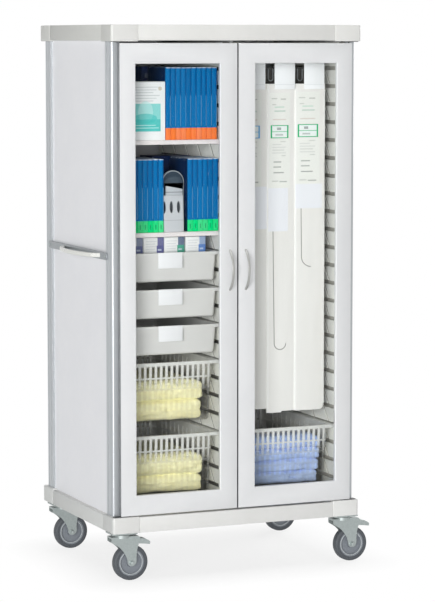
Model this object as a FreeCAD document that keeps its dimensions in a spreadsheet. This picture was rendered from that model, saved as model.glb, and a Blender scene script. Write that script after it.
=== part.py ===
import FreeCAD, Part
import math
import os
from types import SimpleNamespace

import Sketcher

# A medical supply cart: two glazed doors, two stocked columns, four swivel casters.
# Millimetres, +Z up, the doors face -Y, and the floor is z = 0.

doc = FreeCAD.newDocument("medical_supply_cart")

# Sizes of the cart, one row each in the sheet: alias, millimetres, meaning
SIZES = [
    ("cart_width", 942, "base and top, side to side"),
    ("cart_depth", 726, "base and top, front to back"),
    ("cart_height", 1920, "floor to the top face"),
    ("cart_centre_x", -5.5, "middle of the base left of the origin, the casters trail to the right"),
    ("cart_centre_y", 15, "middle of the base behind the origin, the door handles reach out in front"),
    ("caster_height", 170, "floor to the underside of the base"),
    ("rail_height", 54, "height of the rails of the base and the top"),
    ("rail_depth", 40, "depth of those rails"),
    ("rail_wall", 4, "wall of the rail channel"),
    ("rail_inset", 1, "rails stand back from the corner blocks"),
    ("block_length", 100, "legs of the corner blocks"),
    ("block_rise", 3, "corner blocks stand past the rails toward the doors"),
    ("block_corner", 9, "rounding of the outer corner of a block"),
    ("deck_thick", 8, "floor and ceiling sheets"),
    ("top_thick", 12, "top sheet"),
    ("post_inset_side", 11, "post face in from the edge of the base"),
    ("post_inset_front", 29.5, "post front behind the front edge of the base"),
    ("post_inset_rear", 22, "post back in from the rear edge of the base"),
    ("post_side", 58, "side face of a post"),
    ("post_front", 32, "front face of a post"),
    ("post_wall", 14, "thick leg of a post"),
    ("post_lip", 8, "outer lip that covers the panel edge, thickness and width"),
    ("post_groove", 4, "width of the two shallow grooves in the side face"),
    ("post_groove_depth", 1.5, "depth of those grooves"),
    ("post_corner", 6, "rounding of the outer corner"),
    ("panel_thick", 6, "side and rear panels"),
    ("partition_thick", 8, "centre partition"),
    ("partition_setback", 62, "front of the partition behind the front edge"),
    ("column_centre", 225, "middle of a column from the middle of the cart"),
    ("column_clear", 384, "between the pads of a column"),
    ("liner_plate", 17, "backing plate of a liner"),
    ("liner_pad", 12, "pads stand off the plate"),
    ("liner_setback", 72, "front of the liners behind the front edge"),
    ("liner_depth", 590, "liners front to back"),
    ("liner_gap", 6, "liners short of floor and ceiling"),
    ("slot_pitch", 64, "slots of the liners, one above the other"),
    ("slot_height", 14, "opening of a slot"),
    ("slot_first", 152, "first slot below the top face"),
    ("channel_width", 12, "diagonal channels through the pads"),
    ("channel_slope", 40, "run of a channel over the height of a pad"),
    ("channel_pitch", 118, "channels along the depth"),
    ("door_setback", 5, "door front behind the front edge of the base"),
    ("door_edge", 33, "outer door edge in from the edge of the base"),
    ("door_thick", 22, "door frame"),
    ("door_meeting", 6, "gap between the two doors"),
    ("door_gap_top", 9, "top rail to door"),
    ("door_gap_base", 6, "base rail to door"),
    ("door_stile", 64, "frame members at the meeting line"),
    ("door_stile_outer", 58, "frame members at the pivots"),
    ("door_rail", 70, "frame members at top and bottom"),
    ("door_rebate", 8, "ledge the glass sits on, width"),
    ("door_round", 4, "rounding round the window"),
    ("glass_thick", 5, "door glass"),
    ("glass_front", 14, "glass behind the door front"),
    ("glass_play", 0.5, "play of the glass in its rebate"),
    ("pivot_inset", 7, "pivot axis in from the outer door edge"),
    ("pivot_radius", 3, "pivot pin"),
    ("pivot_play", 0.05, "radial play of the pin in the door"),
    ("pivot_reach", 14, "pin inside the door"),
    ("pivot_plate", 2, "plate that carries the pin"),
    ("handle_length", 144, "door handle, end to end"),
    ("handle_reach", 35, "door handle, out from the door"),
    ("handle_width", 8, "door handle, side to side"),
    ("handle_foot", 6, "foot of the handle bow"),
    ("handle_thin", 4, "bow at its middle"),
    ("handle_centre_z", 1071, "door handle above the floor"),
    ("handle_inset", 30, "door handle from the meeting line"),
    ("push_height", 1127, "push rail above the floor"),
    ("push_bar", 26, "push rail, top to bottom"),
    ("push_thick", 4, "push rail, thickness"),
    ("push_front", 70, "front end of the push rail behind the front edge"),
    ("push_length", 601, "push rail, end to end"),
    ("grip_front", 135, "front end of the grip behind the front edge"),
    ("grip_length", 371, "grip, end to end"),
    ("grip_reach", 50, "grip out from the rail"),
    ("grip_bow", 26, "rise of the grip over its straight line"),
    ("grip_thick", 11, "thickness of the grip"),
    ("grip_tall", 15, "grip, top to bottom"),
    ("grip_ramp", 24, "slope of the grip's ends"),
    ("shelf_rise", 11, "shelf top above its slot"),
    ("shelf_width", 374, "shelf between the pads"),
    ("shelf_sheet", 3, "sheet of the shelf"),
    ("shelf_lip", 15, "front and rear lip of a shelf"),
    ("insert_width", 404, "trays, baskets and shelves across their flanges"),
    ("insert_depth", 584, "trays, baskets and shelves front to back"),
    ("insert_setback", 77, "their front behind the front edge"),
    ("insert_flange", 11, "thickness of the flange"),
    ("insert_wall", 2.5, "wall of trays and baskets"),
    ("basket_corner", 26, "rounded corners of a basket seen from above"),
    ("tray_corner", 12, "rounded corners of a tray seen from above"),
    ("body_width", 358, "tray body under the flange"),
    ("basket_width", 340, "basket body under the flange"),
    ("body_inset_front", 10, "body behind the front of the flange"),
    ("tray_height", 102, "tray, rim to bottom"),
    ("tray_taper", 6, "tray walls lean in by this"),
    ("basket_height", 213, "basket, rim to bottom"),
    ("basket_taper", 10, "basket walls lean in by this"),
    ("basket_slot", 8, "slots in the basket walls, width"),
    ("basket_pitch", 20, "slots in the basket walls, spacing"),
    ("basket_row", 34, "slots in the basket walls, height"),
    ("basket_row_pitch", 40, "rows of slots"),
    ("label_width", 90, "label plate of a tray"),
    ("label_height", 55, "label plate of a tray"),
    ("label_thick", 2, "label plate"),
    ("label_over", 1, "label plate above the rim it hangs on"),
    ("hook_setback", 205, "hook rail behind the front edge"),
    ("hook_reach", 92, "hooks forward of the rail"),
    ("hook_pitch", 115, "hooks side by side"),
    ("hook_shift", 1, "middle hook right of the middle of its column"),
    ("hook_wire", 2.2, "radius of the hook wire"),
    ("hook_bend", 8, "bend of the hook wire"),
    ("hook_rise", 20, "upturned end of the hook wire"),
    ("hook_rail_depth", 18, "hook rail front to back"),
    ("hook_rail_height", 9, "hook rail top to bottom"),
    ("card_width", 79, "label card of a hook"),
    ("card_height", 93, "label card of a hook"),
    ("caster_inset_side", 46, "swivel axis in from the sides"),
    ("caster_inset_front", 38, "swivel axis in from the front"),
    ("caster_inset_rear", 81, "swivel axis in from the rear"),
    ("caster_trail", 30, "axle behind the swivel axis"),
    ("wheel_radius", 62.5, "caster wheel"),
    ("wheel_width", 32, "caster wheel"),
    ("tyre_depth", 15, "tyre over the hub"),
    ("tyre_crown", 8, "rounding of the tyre's shoulders"),
    ("hub_web", 7, "half thickness of the hub's web"),
    ("hub_boss", 14, "radius of the hub's boss"),
    ("axle_radius", 5, "wheel axle"),
    ("axle_play", 0.05, "radial play of hub and axle"),
    ("fork_gap", 19, "fork cheek from the wheel's middle"),
    ("fork_cheek", 3, "fork cheek"),
    ("fork_top", 157, "top of the fork's crown"),
    ("fork_crown", 6, "crown plate"),
    ("race_radius", 29, "ball race of the swivel"),
    ("race_height", 5, "ball race of the swivel"),
    ("king_radius", 6, "king pin of the swivel"),
    ("king_play", 0.05, "radial play of the king pin"),
    ("swivel_gap", 1, "between race and mounting plate"),
    ("mount_length", 92, "caster plate, side to side"),
    ("mount_width", 70, "caster plate, front to back"),
    ("mount_plate", 4, "caster plate"),
    ("pedal_pivot_x", 30, "brake pedal pivot behind the swivel axis"),
    ("pedal_pivot_z", 135, "brake pedal pivot above the floor"),
    ("pedal_pin", 3, "radius of the pedal's pin"),
    ("pedal_play", 0.05, "radial play of the pedal's pin"),
    ("pedal_half", 17, "half width of the pedal"),
    ("pedal_tip", 100, "pedal tip behind the swivel axis"),
]


class Size:
    """A length in millimetres that remembers the expression it came from."""

    def __init__(self, value, text):
        self.value = float(value)
        self.text = text

    @staticmethod
    def of(other):
        """The argument as a Size, plain numbers included."""
        if isinstance(other, Size):
            return other
        return Size(other, f"({float(other)!r})")

    def joined(self, sign, other, value):
        """The Size of an operation with its expression."""
        return Size(value, f"({self.text} {sign} {other.text})")

    def __add__(self, other):
        other = Size.of(other)
        return self.joined("+", other, self.value + other.value)

    def __radd__(self, other):
        return Size.of(other) + self

    def __sub__(self, other):
        other = Size.of(other)
        return self.joined("-", other, self.value - other.value)

    def __rsub__(self, other):
        return Size.of(other) - self

    def __mul__(self, other):
        other = Size.of(other)
        return self.joined("*", other, self.value * other.value)

    def __rmul__(self, other):
        return Size.of(other) * self

    def __truediv__(self, other):
        other = Size.of(other)
        return self.joined("/", other, self.value / other.value)

    def __neg__(self):
        return Size.of(-1) * self


# The sheet that drives every size
sheet = doc.addObject("Spreadsheet::Sheet", "Sizes")
for row, (alias, value, meaning) in enumerate(SIZES, start=1):
    sheet.set(f"A{row}", meaning)
    sheet.set(f"B{row}", str(value))
    sheet.setAlias(f"B{row}", alias)
doc.recompute()
S = SimpleNamespace(**{alias: Size(value, f"Sizes.{alias}") for alias, value, _ in SIZES})

# Places that several pieces share
HALF = S.cart_width / 2
FRONT = S.cart_centre_y - S.cart_depth / 2
REAR = S.cart_centre_y + S.cart_depth / 2
BASE_TOP = S.caster_height + S.rail_height
TOP_UNDER = S.cart_height - S.rail_height
POST_FACE = HALF - S.post_inset_side
POST_FRONT = FRONT + S.post_inset_front
POST_REAR = REAR - S.post_inset_rear
PANEL_INNER = POST_FACE - S.post_lip - S.panel_thick
DOOR_FRONT = FRONT + S.door_setback
DOOR_BACK = DOOR_FRONT + S.door_thick
DOOR_BASE = BASE_TOP + S.door_gap_base
DOOR_TOP = TOP_UNDER - S.door_gap_top
INSERT_FRONT = FRONT + S.insert_setback
INSERT_REAR = INSERT_FRONT + S.insert_depth

NODES = []


def node(piece, name):
    """Names a finished piece, moves it onto the cart's middle line and keeps it for the files.

    Args:
        piece: document object with the finished shape.
        name: label of the piece, also the name of its file.
    """
    piece.Label = name
    bound = {path.lstrip("."): text for path, text in piece.ExpressionEngine}
    start = bound.get("Placement.Base.x", "0")
    piece.setExpression("Placement.Base.x", f"({start}) + {S.cart_centre_x.text}")
    NODES.append(piece)
    return piece


def bind(piece, prop, size):
    """Binds one property of a piece to the sheet."""
    piece.setExpression(prop, Size.of(size).text)


def place(piece, x=0, y=0, z=0):
    """Binds the position of a piece to the sheet."""
    for axis, size in zip("xyz", (x, y, z)):
        bind(piece, f"Placement.Base.{axis}", size)
    return piece


def box(name, low, high):
    """A block between two corners."""
    piece = doc.addObject("Part::Box", name)
    for prop, start, end in zip(("Length", "Width", "Height"), low, high):
        bind(piece, prop, Size.of(end) - start)
    return place(piece, *low)


def body(name):
    """An empty solid to build up feature by feature."""
    return doc.addObject("PartDesign::Body", name)


def sketch_on(solid, plane, offset):
    """A sketch on one of a body's own planes, moved along the plane's normal."""
    made = solid.newObject("Sketcher::SketchObject", "profile")
    support = next(item for item in solid.Origin.OriginFeatures if item.Role == f"{plane}_Plane")
    made.AttachmentSupport = [(support, "")]
    made.MapMode = "FlatFace"
    bind(made, "AttachmentOffset.Base.z", offset)
    return made


def bulge(first, last, radius):
    """Middle point of the arc between two points; a negative radius bows to the other side."""
    chord = last - first
    half = chord.Length / 2
    rise = abs(radius) - math.sqrt(max(radius * radius - half * half, 0.0))
    side = FreeCAD.Vector(chord.y, -chord.x, 0).normalize()
    return (first + last) * 0.5 + side * math.copysign(rise, radius)


def turns_left(first, middle, last):
    """Whether the way through three points turns to the left, as an arc in a sketch runs."""
    return (middle - first).cross(last - middle).z > 0


def outline(sketch, points, arcs=None):
    """Draws a closed outline whose corners and radii are bound to the sheet.

    Args:
        sketch: sketch to draw in.
        points: corners as (x, y) pairs.
        arcs: radius of the side that starts at a corner, by the corner's number.
    """
    arcs = arcs or {}
    corners = [(Size.of(x), Size.of(y)) for x, y in points]
    spots = [FreeCAD.Vector(x.value, y.value, 0) for x, y in corners]
    first = len(sketch.Geometry)
    starts = []
    ends = []
    for number, spot in enumerate(spots):
        after = spots[(number + 1) % len(spots)]
        if number in arcs:
            middle = bulge(spot, after, Size.of(arcs[number]).value)
            forward = turns_left(spot, middle, after)
            curve = Part.Arc(spot, middle, after) if forward else Part.Arc(after, middle, spot)
            sketch.addGeometry(curve, False)
        else:
            sketch.addGeometry(Part.LineSegment(spot, after), False)
            forward = True
        starts.append(1 if forward else 2)
        ends.append(2 if forward else 1)
    for number in range(len(spots)):
        after = (number + 1) % len(spots)
        joint = Sketcher.Constraint("Coincident", first + number, ends[number], first + after, starts[after])
        sketch.addConstraint(joint)
    for number, corner in enumerate(corners):
        for kind, size in zip(("DistanceX", "DistanceY"), corner):
            held = Sketcher.Constraint(kind, -1, 1, first + number, starts[number], size.value)
            index = sketch.addConstraint(held)
            bind(sketch, f"Constraints[{index}]", size)
        if number in arcs:
            radius = Size.of(arcs[number])
            radius = radius if radius.value > 0 else -radius
            index = sketch.addConstraint(Sketcher.Constraint("Radius", first + number, radius.value))
            bind(sketch, f"Constraints[{index}]", radius)


def circle(sketch, x, y, radius):
    """Draws a circle bound to the sheet."""
    x, y, radius = Size.of(x), Size.of(y), Size.of(radius)
    centre = FreeCAD.Vector(x.value, y.value, 0)
    number = sketch.addGeometry(Part.Circle(centre, FreeCAD.Vector(0, 0, 1), radius.value), False)
    for kind, size in zip(("DistanceX", "DistanceY"), (x, y)):
        index = sketch.addConstraint(Sketcher.Constraint(kind, -1, 1, number, 3, size.value))
        bind(sketch, f"Constraints[{index}]", size)
    index = sketch.addConstraint(Sketcher.Constraint("Radius", number, radius.value))
    bind(sketch, f"Constraints[{index}]", radius)


def rectangle(x0, y0, x1, y1):
    """Corners of a rectangle."""
    return [(x0, y0), (x1, y0), (x1, y1), (x0, y1)]


def rounded(x0, y0, x1, y1, radius):
    """Corners and arcs of a rectangle with rounded corners."""
    points = [
        (x0 + radius, y0), (x1 - radius, y0), (x1, y0 + radius), (x1, y1 - radius),
        (x1 - radius, y1), (x0 + radius, y1), (x0, y1 - radius), (x0, y0 + radius),
    ]
    return points, {1: radius, 3: radius, 5: radius, 7: radius}


def extrude(solid, sketch, length, kind="Pad", reverse=False, middle=False):
    """Adds material along a sketch's normal, or removes it against the normal."""
    feature = solid.newObject(f"PartDesign::{kind}", kind.lower())
    feature.Profile = sketch
    bind(feature, "Length", length)
    feature.Reversed = reverse
    feature.Midplane = middle
    sketch.Visibility = False
    return feature


def prism(name, plane, start, length, points, arcs=None):
    """A body with one outline, padded along the plane's normal."""
    solid = body(name)
    sketch = sketch_on(solid, plane, start)
    outline(sketch, points, arcs)
    extrude(solid, sketch, length)
    return solid


def edges_where(feature, test):
    """Names of the edges of a feature that pass a test of their middle point and direction."""
    found = []
    for number, edge in enumerate(feature.Shape.Edges, start=1):
        middle = edge.valueAt((edge.FirstParameter + edge.LastParameter) / 2)
        along = edge.Vertexes[-1].Point - edge.Vertexes[0].Point
        if test(middle, along):
            found.append(f"Edge{number}")
    return found


def fillet(solid, radius, test):
    """Rounds the edges of a body's last feature that pass a test."""
    doc.recompute()
    base = solid.Tip
    feature = solid.newObject("PartDesign::Fillet", "fillet")
    feature.Base = (base, edges_where(base, test))
    bind(feature, "Radius", radius)
    return feature


def repeat(solid, feature, runs):
    """Repeats a feature along one or two axes.

    Args:
        solid: body that holds the feature.
        feature: pad or pocket to repeat.
        runs: (axis role, whole length, count, reversed) for each direction.
    """
    multi = solid.newObject("PartDesign::MultiTransform", "pattern")
    multi.Originals = [feature]
    steps = []
    for role, length, count, reverse in runs:
        step = solid.newObject("PartDesign::LinearPattern", "run")
        axis = next(item for item in solid.Origin.OriginFeatures if item.Role == f"{role}_Axis")
        step.Direction = (axis, [""])
        step.Reversed = reverse
        bind(step, "Length", length)
        step.Occurrences = count
        steps.append(step)
    multi.Transformations = steps
    solid.Tip = multi
    return multi


def group(name, pieces):
    """Several solids of one sub-part kept together."""
    made = doc.addObject("Part::Compound", name)
    made.Links = pieces
    return node(made, name)


def fused(name, pieces):
    """Several solids joined into one."""
    made = doc.addObject("Part::MultiFuse", name)
    made.Shapes = pieces
    return made


def mirrored(name, source, normal):
    """A mirror copy through the origin."""
    made = doc.addObject("Part::Mirroring", name)
    made.Source = source
    made.Normal = FreeCAD.Vector(*normal)
    return made


def copy_of(name, pattern, x=0, y=0, z=0):
    """A piece of the same form as a pattern, set at its own place."""
    made = doc.addObject("Part::Compound", name)
    made.Links = [pattern]
    place(made, x, y, z)
    return node(made, name)


def slot_z(number):
    """Height of a liner slot, counted down from the first."""
    return S.cart_height - S.slot_first - S.slot_pitch * number


# Base and top: channel rails between moulded corner blocks


def channel(depth_low, depth_sign, low, high):
    """Corners of a channel section that opens toward the middle of the cart."""
    outer = depth_low
    inner = depth_low + depth_sign * S.rail_depth
    wall = depth_low + depth_sign * S.rail_wall
    return [
        (outer, low), (inner, low), (inner, low + S.rail_wall), (wall, low + S.rail_wall),
        (wall, high - S.rail_wall), (inner, high - S.rail_wall), (inner, high), (outer, high),
    ]


def rails(name, low, high):
    """Four channel rails between the corner blocks."""
    long_run = S.cart_width - 2 * S.block_length
    short_run = S.cart_depth - 2 * S.block_length
    front = prism(f"{name}_front", "YZ", -long_run / 2, long_run, channel(FRONT + S.rail_inset, 1, low, high))
    rear = prism(f"{name}_rear", "YZ", -long_run / 2, long_run, channel(REAR - S.rail_inset, -1, low, high))
    start = -(S.cart_centre_y + short_run / 2)
    left = prism(f"{name}_left", "XZ", start, short_run, channel(-HALF + S.rail_inset, 1, low, high))
    right = prism(f"{name}_right", "XZ", start, short_run, channel(HALF - S.rail_inset, -1, low, high))
    return group(name, [front, rear, left, right])


def blocks(name, low, high):
    """Four corner blocks, outer corner and upper and lower edges rounded."""
    made = []
    for side, x_sign in (("left", -1), ("right", 1)):
        for end, edge, y_sign in (("front", FRONT, 1), ("rear", REAR, -1)):
            outer_x = x_sign * HALF
            inner_x = x_sign * (HALF - S.block_length)
            solid = prism(f"{name}_{side}_{end}", "XY", low, high - low,
                          rectangle(outer_x, edge, inner_x, edge + y_sign * S.block_length))
            corner = (x_sign * HALF.value, edge.value)

            def at_corner(middle, along, corner=corner):
                return abs(along.z) > 1 and math.hypot(middle.x - corner[0], middle.y - corner[1]) < 1

            fillet(solid, S.block_corner, at_corner)
            made.append(solid)
    return group(name, made)


rails("base_rails", S.caster_height, BASE_TOP)
blocks("base_corner_blocks", S.caster_height, BASE_TOP + S.block_rise)
rails("top_rails", TOP_UNDER, S.cart_height)
blocks("top_corner_blocks", TOP_UNDER - S.block_rise, S.cart_height)

INSIDE = HALF - S.rail_inset - S.rail_depth
INSIDE_FRONT = FRONT + S.rail_inset + S.rail_depth
INSIDE_REAR = REAR - S.rail_inset - S.rail_depth


def sheet_between_blocks(name, low, high):
    """A sheet inside the rails with its corners cut round the blocks."""
    cut_x = HALF - S.block_length
    cut_front = FRONT + S.block_length
    cut_rear = REAR - S.block_length
    points = [
        (-cut_x, INSIDE_FRONT), (cut_x, INSIDE_FRONT), (cut_x, cut_front), (INSIDE, cut_front),
        (INSIDE, cut_rear), (cut_x, cut_rear), (cut_x, INSIDE_REAR), (-cut_x, INSIDE_REAR),
        (-cut_x, cut_rear), (-INSIDE, cut_rear), (-INSIDE, cut_front), (-cut_x, cut_front),
    ]
    return node(prism(name, "XY", low, high - low, points), name)


sheet_between_blocks("base_deck", BASE_TOP - S.deck_thick, BASE_TOP)
sheet_between_blocks("ceiling_panel", TOP_UNDER, TOP_UNDER + S.deck_thick)
sheet_between_blocks("top_panel", S.cart_height - S.top_thick, S.cart_height)

# Corner posts: one section, rebated for the panels and grooved on the side face

POST_LOW = BASE_TOP + S.block_rise
POST_HIGH = TOP_UNDER - S.block_rise


def post(name, x_sign, face_y, y_sign):
    """One corner post, padded from the block below to the block above."""
    groove = S.post_groove
    local = [
        (0, 0), (S.post_front, 0), (S.post_front, 12), (S.post_wall, 12),
        (S.post_wall, S.post_side - S.post_lip), (S.post_lip, S.post_side - S.post_lip),
        (S.post_lip, S.post_side), (0, S.post_side),
        (0, 40 + groove), (S.post_groove_depth, 40 + groove), (S.post_groove_depth, 40), (0, 40),
        (0, 14 + groove), (S.post_groove_depth, 14 + groove), (S.post_groove_depth, 14), (0, 14),
    ]
    points = [(x_sign * (POST_FACE - u), face_y + y_sign * v) for u, v in local]
    solid = prism(name, "XY", POST_LOW, POST_HIGH - POST_LOW, points)
    corner = (x_sign * POST_FACE.value, face_y.value)

    def outer(middle, along):
        return abs(along.z) > 1 and math.hypot(middle.x - corner[0], middle.y - corner[1]) < 1

    fillet(solid, S.post_corner, outer)
    return node(solid, name)


post("post_front_left", -1, POST_FRONT, 1)
post("post_front_right", 1, POST_FRONT, 1)
post("post_rear_left", -1, POST_REAR, -1)
post("post_rear_right", 1, POST_REAR, -1)

# Panels and partition

PANEL_FRONT = POST_FRONT + S.post_side - S.post_lip
PANEL_REAR = POST_REAR - S.post_side + S.post_lip
REAR_FACE = POST_REAR - 12


def notched(across_low, across_high, cut_low, cut_high):
    """Outline of a panel between the rails with its corners cut round the blocks."""
    return [
        (cut_low, BASE_TOP), (cut_high, BASE_TOP), (cut_high, POST_LOW), (across_high, POST_LOW),
        (across_high, POST_HIGH), (cut_high, POST_HIGH), (cut_high, TOP_UNDER), (cut_low, TOP_UNDER),
        (cut_low, POST_HIGH), (across_low, POST_HIGH), (across_low, POST_LOW), (cut_low, POST_LOW),
    ]


for side, x_sign in (("left", -1), ("right", 1)):
    low_x = PANEL_INNER if x_sign > 0 else -(PANEL_INNER + S.panel_thick)
    points = notched(PANEL_FRONT, PANEL_REAR, FRONT + S.block_length, REAR - S.block_length)
    node(prism(f"side_panel_{side}", "YZ", low_x, S.panel_thick, points), f"side_panel_{side}")
points = notched(-PANEL_INNER, PANEL_INNER, S.block_length - HALF, HALF - S.block_length)
node(prism("rear_panel", "XZ", -REAR_FACE, S.panel_thick, points), "rear_panel")
partition = box("centre_partition", (-S.partition_thick / 2, FRONT + S.partition_setback, BASE_TOP),
                (S.partition_thick / 2, REAR_FACE - S.panel_thick, TOP_UNDER))
node(partition, "centre_partition")

# Liners: a plate with pads, slots for the inserts, diagonal channels through the pads

SLOTS = 24
LINER_LOW = BASE_TOP + S.liner_gap
LINER_HIGH = TOP_UNDER - S.liner_gap
LINER_FRONT = FRONT + S.liner_setback
LINER_THICK = S.liner_plate + S.liner_pad


def liner_solid(name):
    """One liner that stands on x = 0 with its pads toward +X."""
    solid = body(name)
    sketch = sketch_on(solid, "YZ", 0)
    outline(sketch, rectangle(LINER_FRONT, LINER_LOW, LINER_FRONT + S.liner_depth, LINER_HIGH))
    extrude(solid, sketch, LINER_THICK)
    cut = sketch_on(solid, "YZ", LINER_THICK)
    first = slot_z(0)
    outline(cut, rectangle(LINER_FRONT - 1, first - S.slot_height / 2,
                           LINER_FRONT + S.liner_depth + 1, first + S.slot_height / 2))
    slot = extrude(solid, cut, S.liner_pad, "Pocket")
    repeat(solid, slot, [("Z", S.slot_pitch * (SLOTS - 1), SLOTS, True)])
    slant = sketch_on(solid, "YZ", LINER_THICK)
    low = first - S.slot_pitch + S.slot_height / 2 - 0.5
    high = first - S.slot_height / 2 + 0.5
    start = LINER_FRONT + 62
    outline(slant, [(start, low), (start + S.channel_width, low),
                    (start + S.channel_width + S.channel_slope, high), (start + S.channel_slope, high)])
    channel_cut = extrude(solid, slant, S.liner_pad, "Pocket")
    repeat(solid, channel_cut, [("Y", S.channel_pitch * 4, 5, False),
                                ("Z", S.slot_pitch * (SLOTS - 2), SLOTS - 1, True)])
    return solid


pads_right = liner_solid("liner_pads_right")
pads_left = mirrored("liner_pads_left", pads_right, (1, 0, 0))
HALF_COLUMN = S.column_clear / 2 + LINER_THICK
copy_of("liner_left_outer", pads_right, -S.column_centre - HALF_COLUMN)
copy_of("liner_left_inner", pads_left, HALF_COLUMN - S.column_centre)
copy_of("liner_right_inner", pads_right, S.column_centre - HALF_COLUMN)
copy_of("liner_right_outer", pads_left, S.column_centre + HALF_COLUMN)

# Shelves: a bent sheet that rests on its side flanges in the slots


def shelf(name, number):
    """One shelf of the left column."""
    low = slot_z(number) - S.slot_height / 2
    top = slot_z(number) + S.shelf_rise
    half = S.insert_width / 2
    inner = S.shelf_width / 2
    skin = S.shelf_sheet
    centre = -S.column_centre
    points = [
        (centre - half, low), (centre - inner + skin, low), (centre - inner + skin, top - skin),
        (centre + inner - skin, top - skin), (centre + inner - skin, low), (centre + half, low),
        (centre + half, low + skin), (centre + inner, low + skin), (centre + inner, top),
        (centre - inner, top), (centre - inner, low + skin), (centre - half, low + skin),
    ]
    solid = prism(name, "XZ", -INSERT_REAR, S.insert_depth, points)
    lips = sketch_on(solid, "XY", top - S.shelf_lip)
    outline(lips, rectangle(centre - inner, INSERT_FRONT, centre + inner, INSERT_FRONT + skin))
    outline(lips, rectangle(centre - inner, INSERT_REAR - skin, centre + inner, INSERT_REAR))
    extrude(solid, lips, S.shelf_lip)
    return node(solid, name)


shelf("shelf_upper", 4)
shelf("shelf_lower", 9)

# Push rails and grips on both sides


def push_handle(side, x_sign):
    """Flat rail across the posts and the bowed grip on it."""
    face = x_sign * POST_FACE
    out = x_sign * (POST_FACE + S.push_thick)
    low_x, high_x = (face, out) if x_sign > 0 else (out, face)
    start = FRONT + S.push_front
    points, arcs = rounded(start, S.push_height - S.push_bar / 2, start + S.push_length,
                           S.push_height + S.push_bar / 2, S.push_bar / 2 - 1)
    rail = prism(f"push_rail_{side}", "YZ", low_x, high_x - low_x, points, arcs)
    node(rail, f"push_rail_{side}")

    near = FRONT + S.grip_front
    far = near + S.grip_length
    crest = S.grip_reach - S.grip_bow
    span = S.grip_length / 2 - S.grip_ramp
    bow_radius = (span * span + S.grip_bow * S.grip_bow) / (2 * S.grip_bow)
    inner_span = span - S.grip_thick
    inner_radius = (inner_span * inner_span + S.grip_bow * S.grip_bow) / (2 * S.grip_bow)

    def across(reach):
        return x_sign * (POST_FACE + S.push_thick + reach)

    bow = [
        (across(0), near), (across(crest), near + S.grip_ramp), (across(crest), far - S.grip_ramp), (across(0), far),
        (across(0), far - S.grip_thick - 4), (across(crest - S.grip_thick), far - S.grip_ramp - S.grip_thick),
        (across(crest - S.grip_thick), near + S.grip_ramp + S.grip_thick), (across(0), near + S.grip_thick + 4),
    ]
    arcs = {1: x_sign * bow_radius, 5: -x_sign * inner_radius}
    grip = prism(f"push_grip_{side}", "XY", S.push_height - S.grip_tall / 2, S.grip_tall, bow, arcs)
    outer_x = abs(across(crest).value)
    inner_x = abs(across(crest - S.grip_thick).value)

    def outer_bend(middle, along):
        return abs(along.z) > 1 and abs(abs(middle.x) - outer_x) < 0.5

    def inner_bend(middle, along):
        return abs(along.z) > 1 and abs(abs(middle.x) - inner_x) < 0.5

    fillet(grip, 22, outer_bend)
    fillet(grip, 12, inner_bend)

    def long_edge(middle, along):
        return abs(along.z) < 0.01 and abs(middle.x) > POST_FACE.value + S.push_thick.value + 1

    fillet(grip, 3.6, long_edge)
    node(grip, f"push_grip_{side}")


push_handle("left", -1)
push_handle("right", 1)

# Doors: frame with a rebated window, glass, bow handle, pivots top and bottom

PIVOT_X = HALF - S.door_edge - S.pivot_inset
PIVOT_Y = DOOR_FRONT + S.door_thick / 2


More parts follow.
